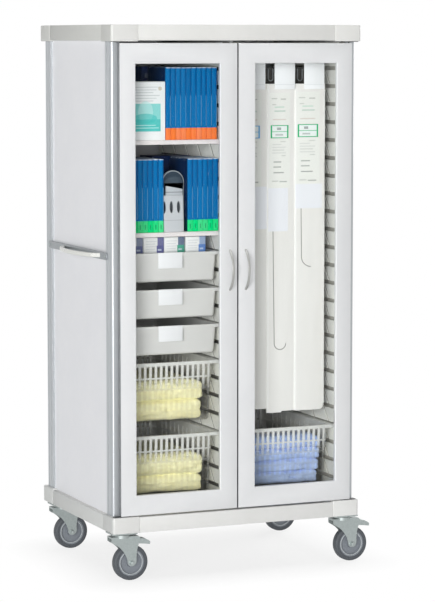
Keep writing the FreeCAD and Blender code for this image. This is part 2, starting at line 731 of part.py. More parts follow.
def door(side, x_sign):
    """Frame, glass and handle of one door."""
    outer = HALF - S.door_edge
    inner = S.door_meeting / 2
    low_x, high_x = (inner, outer) if x_sign > 0 else (-outer, -inner)
    meeting, pivoted = S.door_stile, S.door_stile_outer
    low_stile, high_stile = (meeting, pivoted) if x_sign > 0 else (pivoted, meeting)
    window = rectangle(low_x + low_stile, DOOR_BASE + S.door_rail, high_x - high_stile, DOOR_TOP - S.door_rail)
    frame = body(f"door_frame_{side}")
    sketch = sketch_on(frame, "XZ", -DOOR_BACK)
    outline(sketch, rectangle(low_x, DOOR_BASE, high_x, DOOR_TOP))
    outline(sketch, window)
    extrude(frame, sketch, S.door_thick)
    ledge = S.door_rebate
    rebate = sketch_on(frame, "XZ", -DOOR_BACK)
    outline(rebate, rectangle(low_x + low_stile - ledge, DOOR_BASE + S.door_rail - ledge,
                              high_x - high_stile + ledge, DOOR_TOP - S.door_rail + ledge))
    extrude(frame, rebate, S.door_thick - S.glass_front, "Pocket", reverse=True)
    bore = sketch_on(frame, "XY", DOOR_TOP)
    circle(bore, x_sign * PIVOT_X, PIVOT_Y, S.pivot_radius + S.pivot_play)
    extrude(frame, bore, S.pivot_reach + 2, "Pocket")
    bore = sketch_on(frame, "XY", DOOR_BASE)
    circle(bore, x_sign * PIVOT_X, PIVOT_Y, S.pivot_radius + S.pivot_play)
    extrude(frame, bore, S.pivot_reach + 2, "Pocket", reverse=True)
    front = DOOR_FRONT.value
    sides = (low_x.value + low_stile.value, high_x.value - high_stile.value)
    ends = (DOOR_BASE.value + S.door_rail.value, DOOR_TOP.value - S.door_rail.value)

    def window_edge(middle, along):
        upright = min(abs(middle.x - spot) for spot in sides) < 0.5
        level = min(abs(middle.z - spot) for spot in ends) < 0.5
        return abs(middle.y - front) < 0.1 and (upright or level)

    fillet(frame, S.door_round, window_edge)
    node(frame, f"door_frame_{side}")

    play = S.glass_play - ledge
    glass_y = DOOR_FRONT + S.glass_front
    glass = box(f"door_glass_{side}",
                (low_x + low_stile + play, glass_y, DOOR_BASE + S.door_rail - ledge + S.glass_play),
                (high_x - high_stile - play, glass_y + S.glass_thick, DOOR_TOP - S.door_rail + ledge - S.glass_play))
    node(glass, f"door_glass_{side}")

    half = S.handle_length / 2
    outer_radius = (half * half + S.handle_reach * S.handle_reach) / (2 * S.handle_reach)
    inner_half = half - S.handle_foot
    inner_rise = S.handle_reach - S.handle_thin
    inner_radius = (inner_half * inner_half + inner_rise * inner_rise) / (2 * inner_rise)
    middle_x = x_sign * S.handle_inset
    points = [
        (DOOR_FRONT, S.handle_centre_z - half), (DOOR_FRONT, S.handle_centre_z + half),
        (DOOR_FRONT, S.handle_centre_z + inner_half), (DOOR_FRONT, S.handle_centre_z - inner_half),
    ]
    arcs = {0: -outer_radius, 2: inner_radius}
    handle = prism(f"door_handle_{side}", "YZ", middle_x - S.handle_width / 2, S.handle_width, points, arcs)

    def bow_edge(middle, along):
        return abs(along.x) < 0.01 and middle.y < DOOR_FRONT.value - 1

    fillet(handle, 1.4, bow_edge)
    node(handle, f"door_handle_{side}")


door("left", -1)
door("right", 1)


def pivot(name, x_sign, plate_z, pin_low, pin_high):
    """A plate on a corner block with the pin a door turns on."""
    outer = x_sign * (HALF - 8)
    inner = x_sign * (HALF - 66)
    low_x, high_x = (outer, inner) if x_sign < 0 else (inner, outer)
    plate = box(f"{name}_plate", (low_x, PIVOT_Y - 9, plate_z), (high_x, PIVOT_Y + 9, plate_z + S.pivot_plate))
    pin = doc.addObject("Part::Cylinder", f"{name}_pin")
    bind(pin, "Radius", S.pivot_radius)
    bind(pin, "Height", pin_high - pin_low)
    place(pin, x_sign * PIVOT_X, PIVOT_Y, pin_low)
    return fused(name, [plate, pin])


pivots = []
for side, x_sign in (("left", -1), ("right", 1)):
    pivots.append(pivot(f"pivot_top_{side}", x_sign, POST_HIGH - S.pivot_plate, DOOR_TOP - S.pivot_reach, POST_HIGH))
    pivots.append(pivot(f"pivot_base_{side}", x_sign, POST_LOW, POST_LOW, DOOR_BASE + S.pivot_reach))
group("door_pivots", pivots)

# Trays and baskets: rim, leaning walls, hollow


def insert(name, width, height, taper, corner):
    """The form of a tray or basket, hung by its rim in the first slot on the middle line."""
    rim_low = slot_z(0) - S.slot_height / 2
    rim_top = rim_low + S.insert_flange
    bottom = rim_top - height
    half = S.insert_width / 2
    solid = body(name)
    rim = sketch_on(solid, "XY", rim_low)
    outline(rim, *rounded(-half, INSERT_FRONT, half, INSERT_REAR, Size.of(8)))
    extrude(solid, rim, S.insert_flange)

    def ring(level, inset):
        wide = width / 2 - inset
        front = INSERT_FRONT + S.body_inset_front + inset
        rear = INSERT_REAR - S.body_inset_front - inset
        made = sketch_on(solid, "XY", level)
        outline(made, *rounded(-wide, front, wide, rear, corner))
        made.Visibility = False
        return made

    shell = solid.newObject("PartDesign::AdditiveLoft", "walls")
    upper = ring(rim_low + S.insert_flange / 2, Size.of(0))
    lower = ring(bottom, taper)
    shell.Profile = upper
    shell.Sections = [lower]
    shell.Ruled = True
    solid.Tip = shell
    floor_z = bottom.value

    def foot(middle, along):
        return abs(middle.z - floor_z) < 0.1

    fillet(solid, 9, foot)
    hollow = solid.newObject("PartDesign::SubtractiveLoft", "hollow")
    share = S.insert_wall / height
    upper = ring(rim_top, S.insert_wall)
    lower = ring(bottom + S.insert_wall, S.insert_wall + taper - taper * share)
    hollow.Profile = upper
    hollow.Sections = [lower]
    hollow.Ruled = True
    solid.Tip = hollow
    return solid, rim_low


tray_form, TRAY_RIM = insert("tray_form", S.body_width, S.tray_height, S.tray_taper, S.tray_corner)


def tray(name, number):
    """A tray of the left column with its label plate."""
    centre = -S.column_centre
    copy_of(name, tray_form, centre, 0, -S.slot_pitch * number)
    top = TRAY_RIM - S.slot_pitch * number + S.insert_flange + S.label_over
    half = S.label_width / 2
    face = INSERT_FRONT
    label = box(f"{name}_label", (centre - half, face - S.label_thick, top - S.label_height), (centre + half, face, top))
    node(label, f"{name}_label")


tray("tray_upper", 10)
tray("tray_middle", 12)
tray("tray_lower", 14)


def slotted_basket(name):
    """The form of a basket with rows of upright slots in all four walls."""
    solid, rim_low = insert(name, S.basket_width, S.basket_height, S.basket_taper, S.basket_corner)
    top = rim_low - 8
    width = S.basket_slot
    columns = 15
    start = -S.basket_pitch * ((columns - 1) / 2)
    cut = sketch_on(solid, "XZ", -INSERT_FRONT)
    outline(cut, rectangle(start - width / 2, top - S.basket_row, start + width / 2, top))
    slot = extrude(solid, cut, S.insert_depth, "Pocket")
    repeat(solid, slot, [("X", S.basket_pitch * (columns - 1), columns, False),
                         ("Z", S.basket_row_pitch * 3, 4, True)])
    columns = 11
    middle = (INSERT_FRONT + INSERT_REAR) / 2
    start = middle - S.basket_pitch * (columns - 1)
    cut = sketch_on(solid, "YZ", S.insert_width / 2)
    outline(cut, rectangle(start - width / 2, top - S.basket_row, start + width / 2, top))
    slot = extrude(solid, cut, S.insert_width, "Pocket")
    repeat(solid, slot, [("Y", 2 * S.basket_pitch * (columns - 1), columns, False),
                         ("Z", S.basket_row_pitch * 3, 4, True)])
    return solid


basket_form = slotted_basket("basket_form")
copy_of("basket_upper_left", basket_form, -S.column_centre, 0, -S.slot_pitch * 16)
copy_of("basket_lower_left", basket_form, -S.column_centre, 0, -S.slot_pitch * 20)
copy_of("basket_lower_right", basket_form, S.column_centre, 0, -S.slot_pitch * 20)

# Hook rail of the right column with hooks and label cards

HOOK_Y = FRONT + S.hook_setback
HOOK_Z = slot_z(0) - S.slot_height / 2
hook_rail = box("hook_rail", (S.column_centre - S.insert_width / 2, HOOK_Y, HOOK_Z),
                (S.column_centre + S.insert_width / 2, HOOK_Y + S.hook_rail_depth, HOOK_Z + S.hook_rail_height))
node(hook_rail, "hook_rail")


def hook_wire(name, x):
    """A wire that runs forward from the rail and turns up behind its card."""
    tip = HOOK_Y - S.hook_reach
    level = HOOK_Z + S.hook_rail_height / 2
    lying = doc.addObject("Part::Cylinder", f"{name}_lying")
    bind(lying, "Height", S.hook_reach - S.hook_bend)
    lying.Placement.Rotation = FreeCAD.Rotation(FreeCAD.Vector(1, 0, 0), 90)
    place(lying, x, HOOK_Y, level)
    turn = doc.addObject("Part::Torus", f"{name}_turn")
    bind(turn, "Radius1", S.hook_bend)
    bind(turn, "Radius2", S.hook_wire)
    turn.Angle3 = 90
    back, down, right = FreeCAD.Vector(0, -1, 0), FreeCAD.Vector(0, 0, -1), FreeCAD.Vector(1, 0, 0)
    turn.Placement.Rotation = FreeCAD.Rotation(back, down, right, "XYZ")
    place(turn, x, tip + S.hook_bend, level + S.hook_bend)
    rising = doc.addObject("Part::Cylinder", f"{name}_rising")
    bind(rising, "Height", S.hook_rise - S.hook_bend)
    place(rising, x, tip, level + S.hook_bend)
    for run in (lying, rising):
        bind(run, "Radius", S.hook_wire)
    return fused(name, [lying, turn, rising])


hooks = []
cards = []
for number in range(3):
    centre = S.column_centre + S.hook_shift + S.hook_pitch * (number - 1)
    hooks.append(hook_wire(f"hook_{number + 1}", centre))
    tip = HOOK_Y - S.hook_reach - S.hook_wire
    card_top = HOOK_Z + S.hook_rail_height / 2 + 22
    card = box(f"card_{number + 1}", (centre - S.card_width / 2, tip - S.label_thick, card_top - S.card_height),
               (centre + S.card_width / 2, tip, card_top))
    cards.append(card)
group("supply_hooks", hooks)
group("hook_cards", cards)

# Casters: mount with king pin, fork with axle, hub, tyre and, in front, a brake pedal


def revolve(solid, sketch, axis_role, kind="Revolution"):
    """Turns a sketch all the way round one of the body's own axes."""
    feature = solid.newObject(f"PartDesign::{kind}", kind.lower())
    feature.Profile = sketch
    axis = next(item for item in solid.Origin.OriginFeatures if item.Role == f"{axis_role}_Axis")
    feature.ReferenceAxis = (axis, [""])
    feature.Angle = 360
    sketch.Visibility = False
    solid.Tip = feature
    return feature


def caster_mount(name, x, y):
    """Plate, race cover and king pin under a corner of the base."""
    top = S.caster_height
    plate = box(f"{name}_plate", (x - S.mount_length / 2, y - S.mount_width / 2, top - S.mount_plate),
                (x + S.mount_length / 2, y + S.mount_width / 2, top))
    cover_low = S.fork_top + S.race_height + S.swivel_gap
    pieces = [plate]
    for part, radius, low in (("cover", S.race_radius - 3, cover_low), ("pin", S.king_radius, S.fork_top - 4)):
        turned = doc.addObject("Part::Cylinder", f"{name}_{part}")
        bind(turned, "Radius", radius)
        bind(turned, "Height", top - low)
        place(turned, x, y, low)
        pieces.append(turned)
    return fused(name, pieces)


def caster_fork(name, braked):
    """Fork with two cheeks, a crown, the ball race and the axle."""
    solid = body(name)
    trail = S.caster_trail
    axle_z = S.wheel_radius
    side = sketch_on(solid, "XZ", 0)
    end = 16
    points = [
        (-45, S.fork_top), (-45, S.fork_top - 17), (-39, S.fork_top - 22), (trail - end - 1, axle_z + 10),
        (trail - end, axle_z), (trail + end, axle_z), (trail + end + 1, axle_z + 10),
        (60, S.fork_top - 16), (60, S.fork_top - 5), (54, S.fork_top),
    ]
    outline(side, points, {2: -95, 4: end + 1, 6: -150})
    width = 2 * (S.fork_gap + S.fork_cheek)
    extrude(solid, side, width, middle=True)
    inside = sketch_on(solid, "XZ", 0)
    outline(inside, rectangle(-60, 0, trail + 60, S.fork_top - S.fork_crown))
    extrude(solid, inside, 2 * S.fork_gap, "Pocket", middle=True)
    race = sketch_on(solid, "XY", S.fork_top - S.fork_crown)
    circle(race, 0, 0, S.race_radius)
    extrude(solid, race, S.fork_crown + S.race_height)
    bore = sketch_on(solid, "XY", S.fork_top + S.race_height)
    circle(bore, 0, 0, S.king_radius + S.king_play)
    extrude(solid, bore, S.fork_crown + S.race_height + 2, "Pocket")
    axle = sketch_on(solid, "XZ", 0)
    circle(axle, trail, axle_z, S.axle_radius)
    extrude(solid, axle, width + 2, middle=True)
    for sign in (-1, 1):
        head = sketch_on(solid, "XZ", sign * (S.fork_gap + S.fork_cheek))
        circle(head, trail, axle_z, 8.5)
        extrude(solid, head, 4, reverse=sign < 0)
    if braked:
        hole = sketch_on(solid, "XZ", 0)
        circle(hole, S.pedal_pivot_x, S.pedal_pivot_z, S.pedal_pin + S.pedal_play)
        extrude(solid, hole, width + 4, "Pocket", middle=True)
    return solid


def caster_hub(name):
    """Hub with boss, web and rim, bored for the axle."""
    solid = body(name)
    rim = S.wheel_radius - S.tyre_depth
    bore = S.axle_radius + S.axle_play
    boss = S.fork_gap - 1
    half = S.wheel_width / 2 - 2
    section = sketch_on(solid, "YZ", 0)
    points = [
        (-boss, bore), (boss, bore), (boss, S.hub_boss), (S.hub_web, S.hub_boss + 2),
        (S.hub_web, rim - 8), (half, rim - 5), (half, rim), (-half, rim),
        (-half, rim - 5), (-S.hub_web, rim - 8), (-S.hub_web, S.hub_boss + 2), (-boss, S.hub_boss),
    ]
    outline(section, points)
    revolve(solid, section, "Y")
    return solid


def caster_tyre(name):
    """Tyre with rounded shoulders."""
    solid = body(name)
    rim = S.wheel_radius - S.tyre_depth
    half = S.wheel_width / 2
    crown = S.tyre_crown
    section = sketch_on(solid, "YZ", 0)
    points = [
        (-half, rim), (half, rim), (half, S.wheel_radius - crown), (half - crown, S.wheel_radius),
        (crown - half, S.wheel_radius), (-half, S.wheel_radius - crown),
    ]
    outline(section, points, {2: crown, 4: crown})
    revolve(solid, section, "Y")
    return solid


def brake_pedal(name):
    """Lever that turns on a pin between the fork cheeks and reaches back over the wheel."""
    solid = body(name)
    tip = S.pedal_tip
    side = sketch_on(solid, "XZ", 0)
    points = [
        (22, 143), (23, 131), (40, 131), (62, 128), (82, 126), (tip - 6, 124), (tip - 1, 124), (tip, 128),
        (tip, 133), (tip - 8, 139), (82, 144), (62, 147), (44, 147), (34, 146),
    ]
    outline(side, points)
    extrude(solid, side, 2 * S.pedal_half, middle=True)
    pin = sketch_on(solid, "XZ", 0)
    circle(pin, S.pedal_pivot_x, S.pedal_pivot_z, S.pedal_pin)
    extrude(solid, pin, 2 * (S.fork_gap + S.fork_cheek), middle=True)
    return solid


forks = {"front": caster_fork("fork_braked", True), "rear": caster_fork("fork_plain", False)}
hub_form = caster_hub("hub_form")
tyre_form = caster_tyre("tyre_form")
pedal_form = brake_pedal("pedal_form")
mounts = []
for end, y in (("front", FRONT + S.caster_inset_front), ("rear", REAR - S.caster_inset_rear)):
    for side, x_sign in (("left", -1), ("right", 1)):
        x = x_sign * (HALF - S.caster_inset_side)
        mounts.append(caster_mount(f"caster_mount_{end}_{side}", x, y))
        copy_of(f"caster_fork_{end}_{side}", forks[end], x, y)
        copy_of(f"caster_hub_{end}_{side}", hub_form, x + S.caster_trail, y, S.wheel_radius)
        copy_of(f"caster_tyre_{end}_{side}", tyre_form, x + S.caster_trail, y, S.wheel_radius)
        if end == "front":
            copy_of(f"brake_pedal_{side}", pedal_form, x, y)
group("caster_mounts", mounts)

doc.recompute()

# Every object sound, every shape whole, then one file per sub-part
for item in doc.Objects:
    if "Invalid" in item.State or "Error" in item.State:
        raise SystemExit(f"{item.Label} failed: {item.getStatusString()}")
os.makedirs("parts", exist_ok=True)
for piece in NODES:
    shape = piece.Shape
    if shape.isNull() or not shape.isValid() or shape.Volume <= 0:
        raise SystemExit(f"{piece.Label} has no valid shape")
    shape.exportStep(os.path.join("parts", f"{piece.Label}.step"))
    print(f"{piece.Label}: {len(shape.Solids)} solids, {shape.Volume / 1000:.1f} cm3")
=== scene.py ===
"""Dressed model of a medical supply cart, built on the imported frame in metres."""

import logging
import math
from dataclasses import dataclass
from enum import Enum
from functools import cached_property
from typing import Callable, Optional, Sequence, Union

import bpy
from mathutils import Matrix, Vector, noise


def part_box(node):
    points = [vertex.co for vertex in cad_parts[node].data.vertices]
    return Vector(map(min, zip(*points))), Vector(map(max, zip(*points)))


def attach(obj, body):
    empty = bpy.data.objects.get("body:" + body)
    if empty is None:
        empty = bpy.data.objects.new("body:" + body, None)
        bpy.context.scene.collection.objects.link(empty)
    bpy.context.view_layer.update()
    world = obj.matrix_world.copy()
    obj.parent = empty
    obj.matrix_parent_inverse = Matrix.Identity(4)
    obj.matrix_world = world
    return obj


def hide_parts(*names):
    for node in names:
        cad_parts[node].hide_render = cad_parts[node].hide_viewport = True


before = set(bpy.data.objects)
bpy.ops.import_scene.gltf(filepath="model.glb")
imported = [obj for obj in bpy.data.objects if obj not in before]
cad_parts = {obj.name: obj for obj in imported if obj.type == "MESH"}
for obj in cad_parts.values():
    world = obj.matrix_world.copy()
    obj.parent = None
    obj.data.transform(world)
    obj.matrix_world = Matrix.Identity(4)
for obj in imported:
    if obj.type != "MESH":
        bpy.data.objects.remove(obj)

log = logging.getLogger("supply_cart")

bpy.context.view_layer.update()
SIDES = ("left", "right")
WHITE = (1.0, 1.0, 1.0)

Piece = bpy.types.Object
Material = bpy.types.Material
Triple = tuple[float, float, float]
Limits = tuple[float, float, float, float]


def srgb(text: str) -> Triple:
    """Linear colour of a hex code as a colour picker shows it."""
    parts = [int(text[i:i + 2], 16) / 255 for i in (0, 2, 4)]
    return tuple(c / 12.92 if c <= 0.04045 else ((c + 0.055) / 1.055) ** 2.4 for c in parts)


# Shader sockets in Python arithmetic


def joining(operation: str, number_first: bool = False) -> Callable[["Wire", "Value"], "Wire"]:
    """Makes a method that joins a wire to another value by a Math node.

    Args:
        operation: name of the Math node's operation.
        number_first: whether the other value comes first.

    Returns:
        The method.
    """

    def method(wire: "Wire", other: "Value") -> "Wire":
        """The Math node's result; a comparison gives one or nought."""
        return wire.kit.math(operation, *((other, wire) if number_first else (wire, other)))

    return method


class Wire:
    """A node output that takes part in sums, products and comparisons."""

    def __init__(self, kit: "NodeKit", socket: bpy.types.NodeSocket) -> None:
        self.kit = kit
        self.socket = socket

    __add__ = joining("ADD")
    __radd__ = joining("ADD", number_first=True)
    __sub__ = joining("SUBTRACT")
    __rsub__ = joining("SUBTRACT", number_first=True)
    __mul__ = joining("MULTIPLY")
    __rmul__ = joining("MULTIPLY", number_first=True)
    __truediv__ = joining("DIVIDE")
    __rtruediv__ = joining("DIVIDE", number_first=True)
    __pow__ = joining("POWER")
    __rpow__ = joining("POWER", number_first=True)
    __gt__ = joining("GREATER_THAN")
    __lt__ = joining("LESS_THAN")


Value = Union[Wire, float, Sequence[float]]


class NodeKit:
    """The node tree of a material or of the world, with one way to add nodes."""

    def __init__(self, owner: Union[Material, bpy.types.World]) -> None:
        """Empties the owner's node tree."""
        owner.use_nodes = True
        self.owner = owner
        self.tree = owner.node_tree
        self.tree.nodes.clear()

    @cached_property
    def place(self) -> Wire:
        """Object coordinates, which prints and textures follow."""
        return self.add("ShaderNodeTexCoord", {}, {}, "Object")

    def add(self, kind: str, settings: dict, inputs: dict, out: Union[int, str] = 0) -> Wire:
        """Adds a node, sets it up and feeds its sockets.

        Args:
            kind: node type.
            settings: properties of the node.
            inputs: socket name or number to a value or a wire.
            out: output to hand back.

        Returns:
            The chosen output.
        """
        node = self.tree.nodes.new(kind)
        for key, value in settings.items():
            setattr(node, key, value)
        for key, value in inputs.items():
            socket = node.inputs[key]
            if isinstance(value, Wire):
                self.tree.links.new(value.socket, socket)
            elif isinstance(value, (int, float)) or len(value) == len(socket.default_value):
                socket.default_value = value
            else:
                socket.default_value = (*value, 1.0)
        return Wire(self, node.outputs[out])

    def math(self, operation: str, *operands: Value) -> Wire:
        """Result of a Math node."""
        return self.add("ShaderNodeMath", {"operation": operation}, dict(enumerate(operands)))

    def mix(self, factor: Value, first: Value, second: Value) -> Wire:
        """Blend of two colours."""
        sockets = {"Factor": factor, 6: first, 7: second}
        return self.add("ShaderNodeMix", {"data_type": "RGBA"}, sockets, 2)

    def blend(self, factor: Value, first: Wire, second: Wire) -> Wire:
        """Blend of two shaders."""
        return self.add("ShaderNodeMixShader", {}, {0: factor, 1: first, 2: second})

    def axes(self) -> tuple[Wire, Wire, Wire]:
        """The three object coordinates."""
        node = self.add("ShaderNodeSeparateXYZ", {}, {0: self.place}).socket.node
        return tuple(Wire(self, node.outputs[i]) for i in range(3))

    def seen(self) -> Wire:
        """One for rays that show the backdrop straight, mirrored or through glass, else nought."""
        rays = self.add("ShaderNodeLightPath", {}, {}).socket.node
        kinds = ("Is Camera Ray", "Is Glossy Ray", "Is Transmission Ray")
        straight, mirrored, through = (Wire(self, rays.outputs[kind]) for kind in kinds)
        return straight + mirrored + through > 0.0

    def noise(self, scale: float, detail: float, stretch: Triple = (1.0, 1.0, 1.0)) -> Wire:
        """Cloudy noise on object coordinates.

        Args:
            scale: lumps per metre.
            detail: octaves.
            stretch: scale of each axis, to draw the lumps out.

        Returns:
            The noise value.
        """
        spot = self.add("ShaderNodeMapping", {}, {"Vector": self.place, "Scale": stretch})
        return self.add("ShaderNodeTexNoise", {}, {"Vector": spot, "Scale": scale, "Detail": detail})

    def bump(self, height: Wire, depth: float) -> Wire:
        """Normal of a height field whose full range is depth metres."""
        return self.add("ShaderNodeBump", {}, {"Height": height, "Distance": depth})

    def inside(self, spot: Wire, low: float, high: float) -> Wire:
        """One between two values of a coordinate, else nought."""
        return (spot > low) * (spot < high)

    def moulded(self, colour: str, shade: str) -> tuple[Wire, Wire, Wire]:
        """What all mouldings share: uneven colour, handling marks and fine grain.

        Args:
            colour: main colour.
            shade: colour of the other patches.

        Returns:
            The colour, the marks about nought and the height field.
        """
        patches = self.noise(7.0, 4.0)
        marks = self.noise(38.0, 6.0)
        grain = self.noise(2200.0, 2.0)
        wear = marks - 0.5
        tone = (patches - 0.35) * 0.9 + wear * 0.35
        return self.mix(tone, srgb(colour), srgb(shade)), wear, grain + marks * 0.5

    def surface(self, **sockets: Value) -> Wire:
        """A Principled shader; underscores in names stand for blanks."""
        inputs = {name.replace("_", " "): value for name, value in sockets.items()}
        return self.add("ShaderNodeBsdfPrincipled", {}, inputs)

    def done(self, shader: Wire, output: str = "ShaderNodeOutputMaterial") -> bpy.types.ID:
        """Joins a shader to the output and hands the material or the world back."""
        node = self.tree.nodes.new(output)
        self.tree.links.new(shader.socket, node.inputs["Surface"])
        return self.owner


# Finishes


BUILT: dict[str, Material] = {}


@dataclass(frozen=True)
class Finish:
    """A named surface that becomes a material."""

    name: str

    def shader(self, kit: NodeKit) -> Wire:
        """Wires the surface up in a kit and returns its shader."""
        raise NotImplementedError

    def build(self) -> Material:
        """Returns: the material, made the first time it is asked for."""
        if self.name not in BUILT:
            kit = NodeKit(bpy.data.materials.new(self.name))
            BUILT[self.name] = kit.done(self.shader(kit))
        return BUILT[self.name]


@dataclass(frozen=True)
class Moulding(Finish):
    """Moulded or laminated plastic with fine grain and faint handling marks."""

    colour: str
    shade: str
    roughness: float = 0.42
    depth: float = 0.00006

    def shader(self, kit: NodeKit) -> Wire:
        """Returns: the shader."""
        colour, wear, height = kit.moulded(self.colour, self.shade)
        return kit.surface(Base_Color=colour, Roughness=self.roughness + wear * 0.16,
                           Normal=kit.bump(height, self.depth))


@dataclass(frozen=True)
class EdgedFoil(Finish):
    """Pale foil or moulding whose outer side faces carry a darker colour: painted shade on the side faces.
    """

    colour: str
    shade: str
    side_shade: str
    left: float
    right: float
    front: float
    skin: float = 0.0012
    roughness: float = 0.36
    lip: float = 0.0022
    depth: float = 0.00006

    def shader(self, kit: NodeKit) -> Wire:
        """Returns: the shader."""
        x, y, _ = kit.axes()
        colour, wear, height = kit.moulded(self.colour, self.shade)
        # Side faces behind the front lip take the third colour: painted shade.
        edge = ((x < self.left + self.skin) + (x > self.right - self.skin)) * (y > self.front + self.lip)
        colour = kit.mix(edge * (0.92 + wear * 0.2), colour, srgb(self.side_shade))
        rough = self.roughness + wear * 0.16 + edge * 0.2
        return kit.surface(Base_Color=colour, Roughness=rough, Coat_Weight=0.15, Coat_Roughness=0.2,
                           Normal=kit.bump(height, self.depth))


@dataclass(frozen=True)
class LinerMoulding(Finish):
    """Ivory moulding with shade painted into its slots and channels, behind the faces of the pads."""

    face: float
    inward: float
    recess_shade: str
    colour: str = "F9F8F2"
    shade: str = "EEEDE5"
    lip: float = 0.003
    depth: float = 0.0001

    def shader(self, kit: NodeKit) -> Wire:
        """Returns: the shader."""
        x, _, _ = kit.axes()
        colour, wear, height = kit.moulded(self.colour, self.shade)
        # Faces deeper than the pads take the darker colour: painted shade in the slots and channels.
        dark = ((x - self.face) * self.inward > self.lip) * (0.9 + wear * 0.3)
        colour = kit.mix(dark, colour, srgb(self.recess_shade))
        return kit.surface(Base_Color=colour, Roughness=0.4 + wear * 0.16,
                           Normal=kit.bump(height, self.depth))


@dataclass(frozen=True)
class DrawnMetal(Finish):
    """Anodised or plated metal with fine lines along one axis."""

    colour: str
    shade: str
    along: Triple
    roughness: float = 0.38
    metallic: float = 0.75
    depth: float = 0.00004

    def shader(self, kit: NodeKit) -> Wire:
        """Returns: the shader."""
        lines = kit.noise(900.0, 3.0, self.along)
        cloud = kit.noise(9.0, 4.0)
        colour = kit.mix(lines * 0.6 + cloud * 0.4, srgb(self.colour), srgb(self.shade))
        rough = self.roughness + (lines - 0.5) * 0.18 + (cloud - 0.5) * 0.1
        return kit.surface(Base_Color=colour, Roughness=rough, Metallic=self.metallic,
                           Normal=kit.bump(lines, self.depth))


@dataclass(frozen=True)
class ZincPlate(Finish):
    """Bright zinc plating with a faint crystal pattern."""

    colour: str
    shade: str
    crystals: float = 160.0
    metallic: float = 0.7
    depth: float = 0.00005

    def shader(self, kit: NodeKit) -> Wire:
        """Returns: the shader."""
        flakes = kit.add("ShaderNodeTexVoronoi", {}, {"Vector": kit.place, "Scale": self.crystals})
        cloud = kit.noise(60.0, 5.0)
        colour = kit.mix(flakes * 0.5 + cloud * 0.5, srgb(self.colour), srgb(self.shade))
        rough = 0.3 + flakes * 0.15 + (cloud - 0.5) * 0.15
        return kit.surface(Base_Color=colour, Roughness=rough, Metallic=self.metallic,
                           Normal=kit.bump(cloud, self.depth))


@dataclass(frozen=True)
class WindowGlass(Finish):
    """Clear glass that reflects at its surface and barely tints."""

    tint: str
    gleam: str = "F4F8F8"
    bend: float = 1.28
    share: float = 0.15

    def shader(self, kit: NodeKit) -> Wire:
        """Returns: the shader."""
        smear = kit.noise(14.0, 5.0, (1.0, 1.0, 0.35))
        clear = kit.add("ShaderNodeBsdfTransparent", {}, {"Color": srgb(self.tint)})
        sockets = {"Color": srgb(self.gleam), "Roughness": 0.03 + smear * 0.05}
        gloss = kit.add("ShaderNodeBsdfGlossy", {}, sockets)
        facing = kit.add("ShaderNodeFresnel", {}, {"IOR": self.bend})
        return kit.blend(facing * self.share + (smear - 0.5) * 0.006, clear, gloss)


@dataclass(frozen=True)
class ClearMoulding(Finish):
    """Thin clear plastic: cloudy in rim, clearer down the walls and beside the slots, whiter at the side
    walls and corners, partly a painted highlight.
    """

    rim: float
    middle: float
    colour: str = "FDFCF8"
    bright: str = "FFFFFC"
    tint: str = "FDFCF9"
    thick: float = 0.54
    thin: float = 0.03
    fade: float = 0.06
    pitch: float = 0.020
    row: float = 0.040
    start: float = 0.019
    lead: float = 0.006
    corner: float = 0.14
    flat: float = 0.148

    def bevelled(self, kit: NodeKit, x: Wire, z: Wire) -> Wire:
        """One in the thin strips about the rows of slots, else nought.

        Args:
            kit: kit of the material.
            x: sideways coordinate.
            z: upright coordinate.

        Returns:
            The strips.
        """
        top = self.rim - self.start
        column = kit.math("FRACT", (x - self.middle) / self.pitch + 20.5)
        level = kit.math("FRACT", (top - z) / self.row)
        slots = (level < 0.86) * (z < top) + kit.inside(z, top, top + self.lead)
        return kit.inside(column, 0.21, 0.79) * slots

    def shader(self, kit: NodeKit) -> Wire:
        """Returns: the shader."""
        x, _, z = kit.axes()
        cloud = kit.noise(22.0, 4.0)
        edge = kit.add("ShaderNodeLayerWeight", {}, {"Blend": 0.35}, "Facing")
        clear = kit.add("ShaderNodeBsdfTransparent", {}, {"Color": srgb(self.tint)})
        solid = kit.surface(Base_Color=kit.mix(cloud, srgb(self.colour), srgb(self.bright)),
                            Roughness=0.16 + cloud * 0.12, Coat_Weight=0.5, Coat_Roughness=0.05,
                            Normal=kit.bump(cloud, 0.0002))
        fall = (z - self.rim) / self.fade + 1.75
        fall = fall * (fall > 0.0)
        near = (fall > 1.0) + fall * (fall < 1.0)
        amount = (self.thin + (self.thick - self.thin) * near) * (1.0 + (cloud - 0.5) * 0.4)
        amount = amount + edge * (0.03 + near * 0.19)
        aside = x - self.middle
        # Side walls and corners are made more opaque white: partly the slanting plastic, partly a painted
        # highlight.
        amount = amount + self.corner * (aside * aside > self.flat * self.flat)
        return kit.blend(amount * (1.0 - self.bevelled(kit, x, z) * 0.8), clear, solid)


@dataclass(frozen=True)
class WheelRubber(Finish):
    """Grey non-marking rubber with scuffs and dust on the tread."""

    colour: str
    dust: str
    depth: float = 0.0002

    def shader(self, kit: NodeKit) -> Wire:
        """Returns: the shader."""
        scuff = kit.noise(120.0, 6.0)
        cloud = kit.noise(26.0, 4.0)
        worn = (scuff - 0.45) * 1.4 * cloud
        colour = kit.mix(worn, srgb(self.colour), srgb(self.dust))
        return kit.surface(Base_Color=colour, Roughness=0.62 + (scuff - 0.5) * 0.3,
                           Normal=kit.bump(scuff, self.depth))


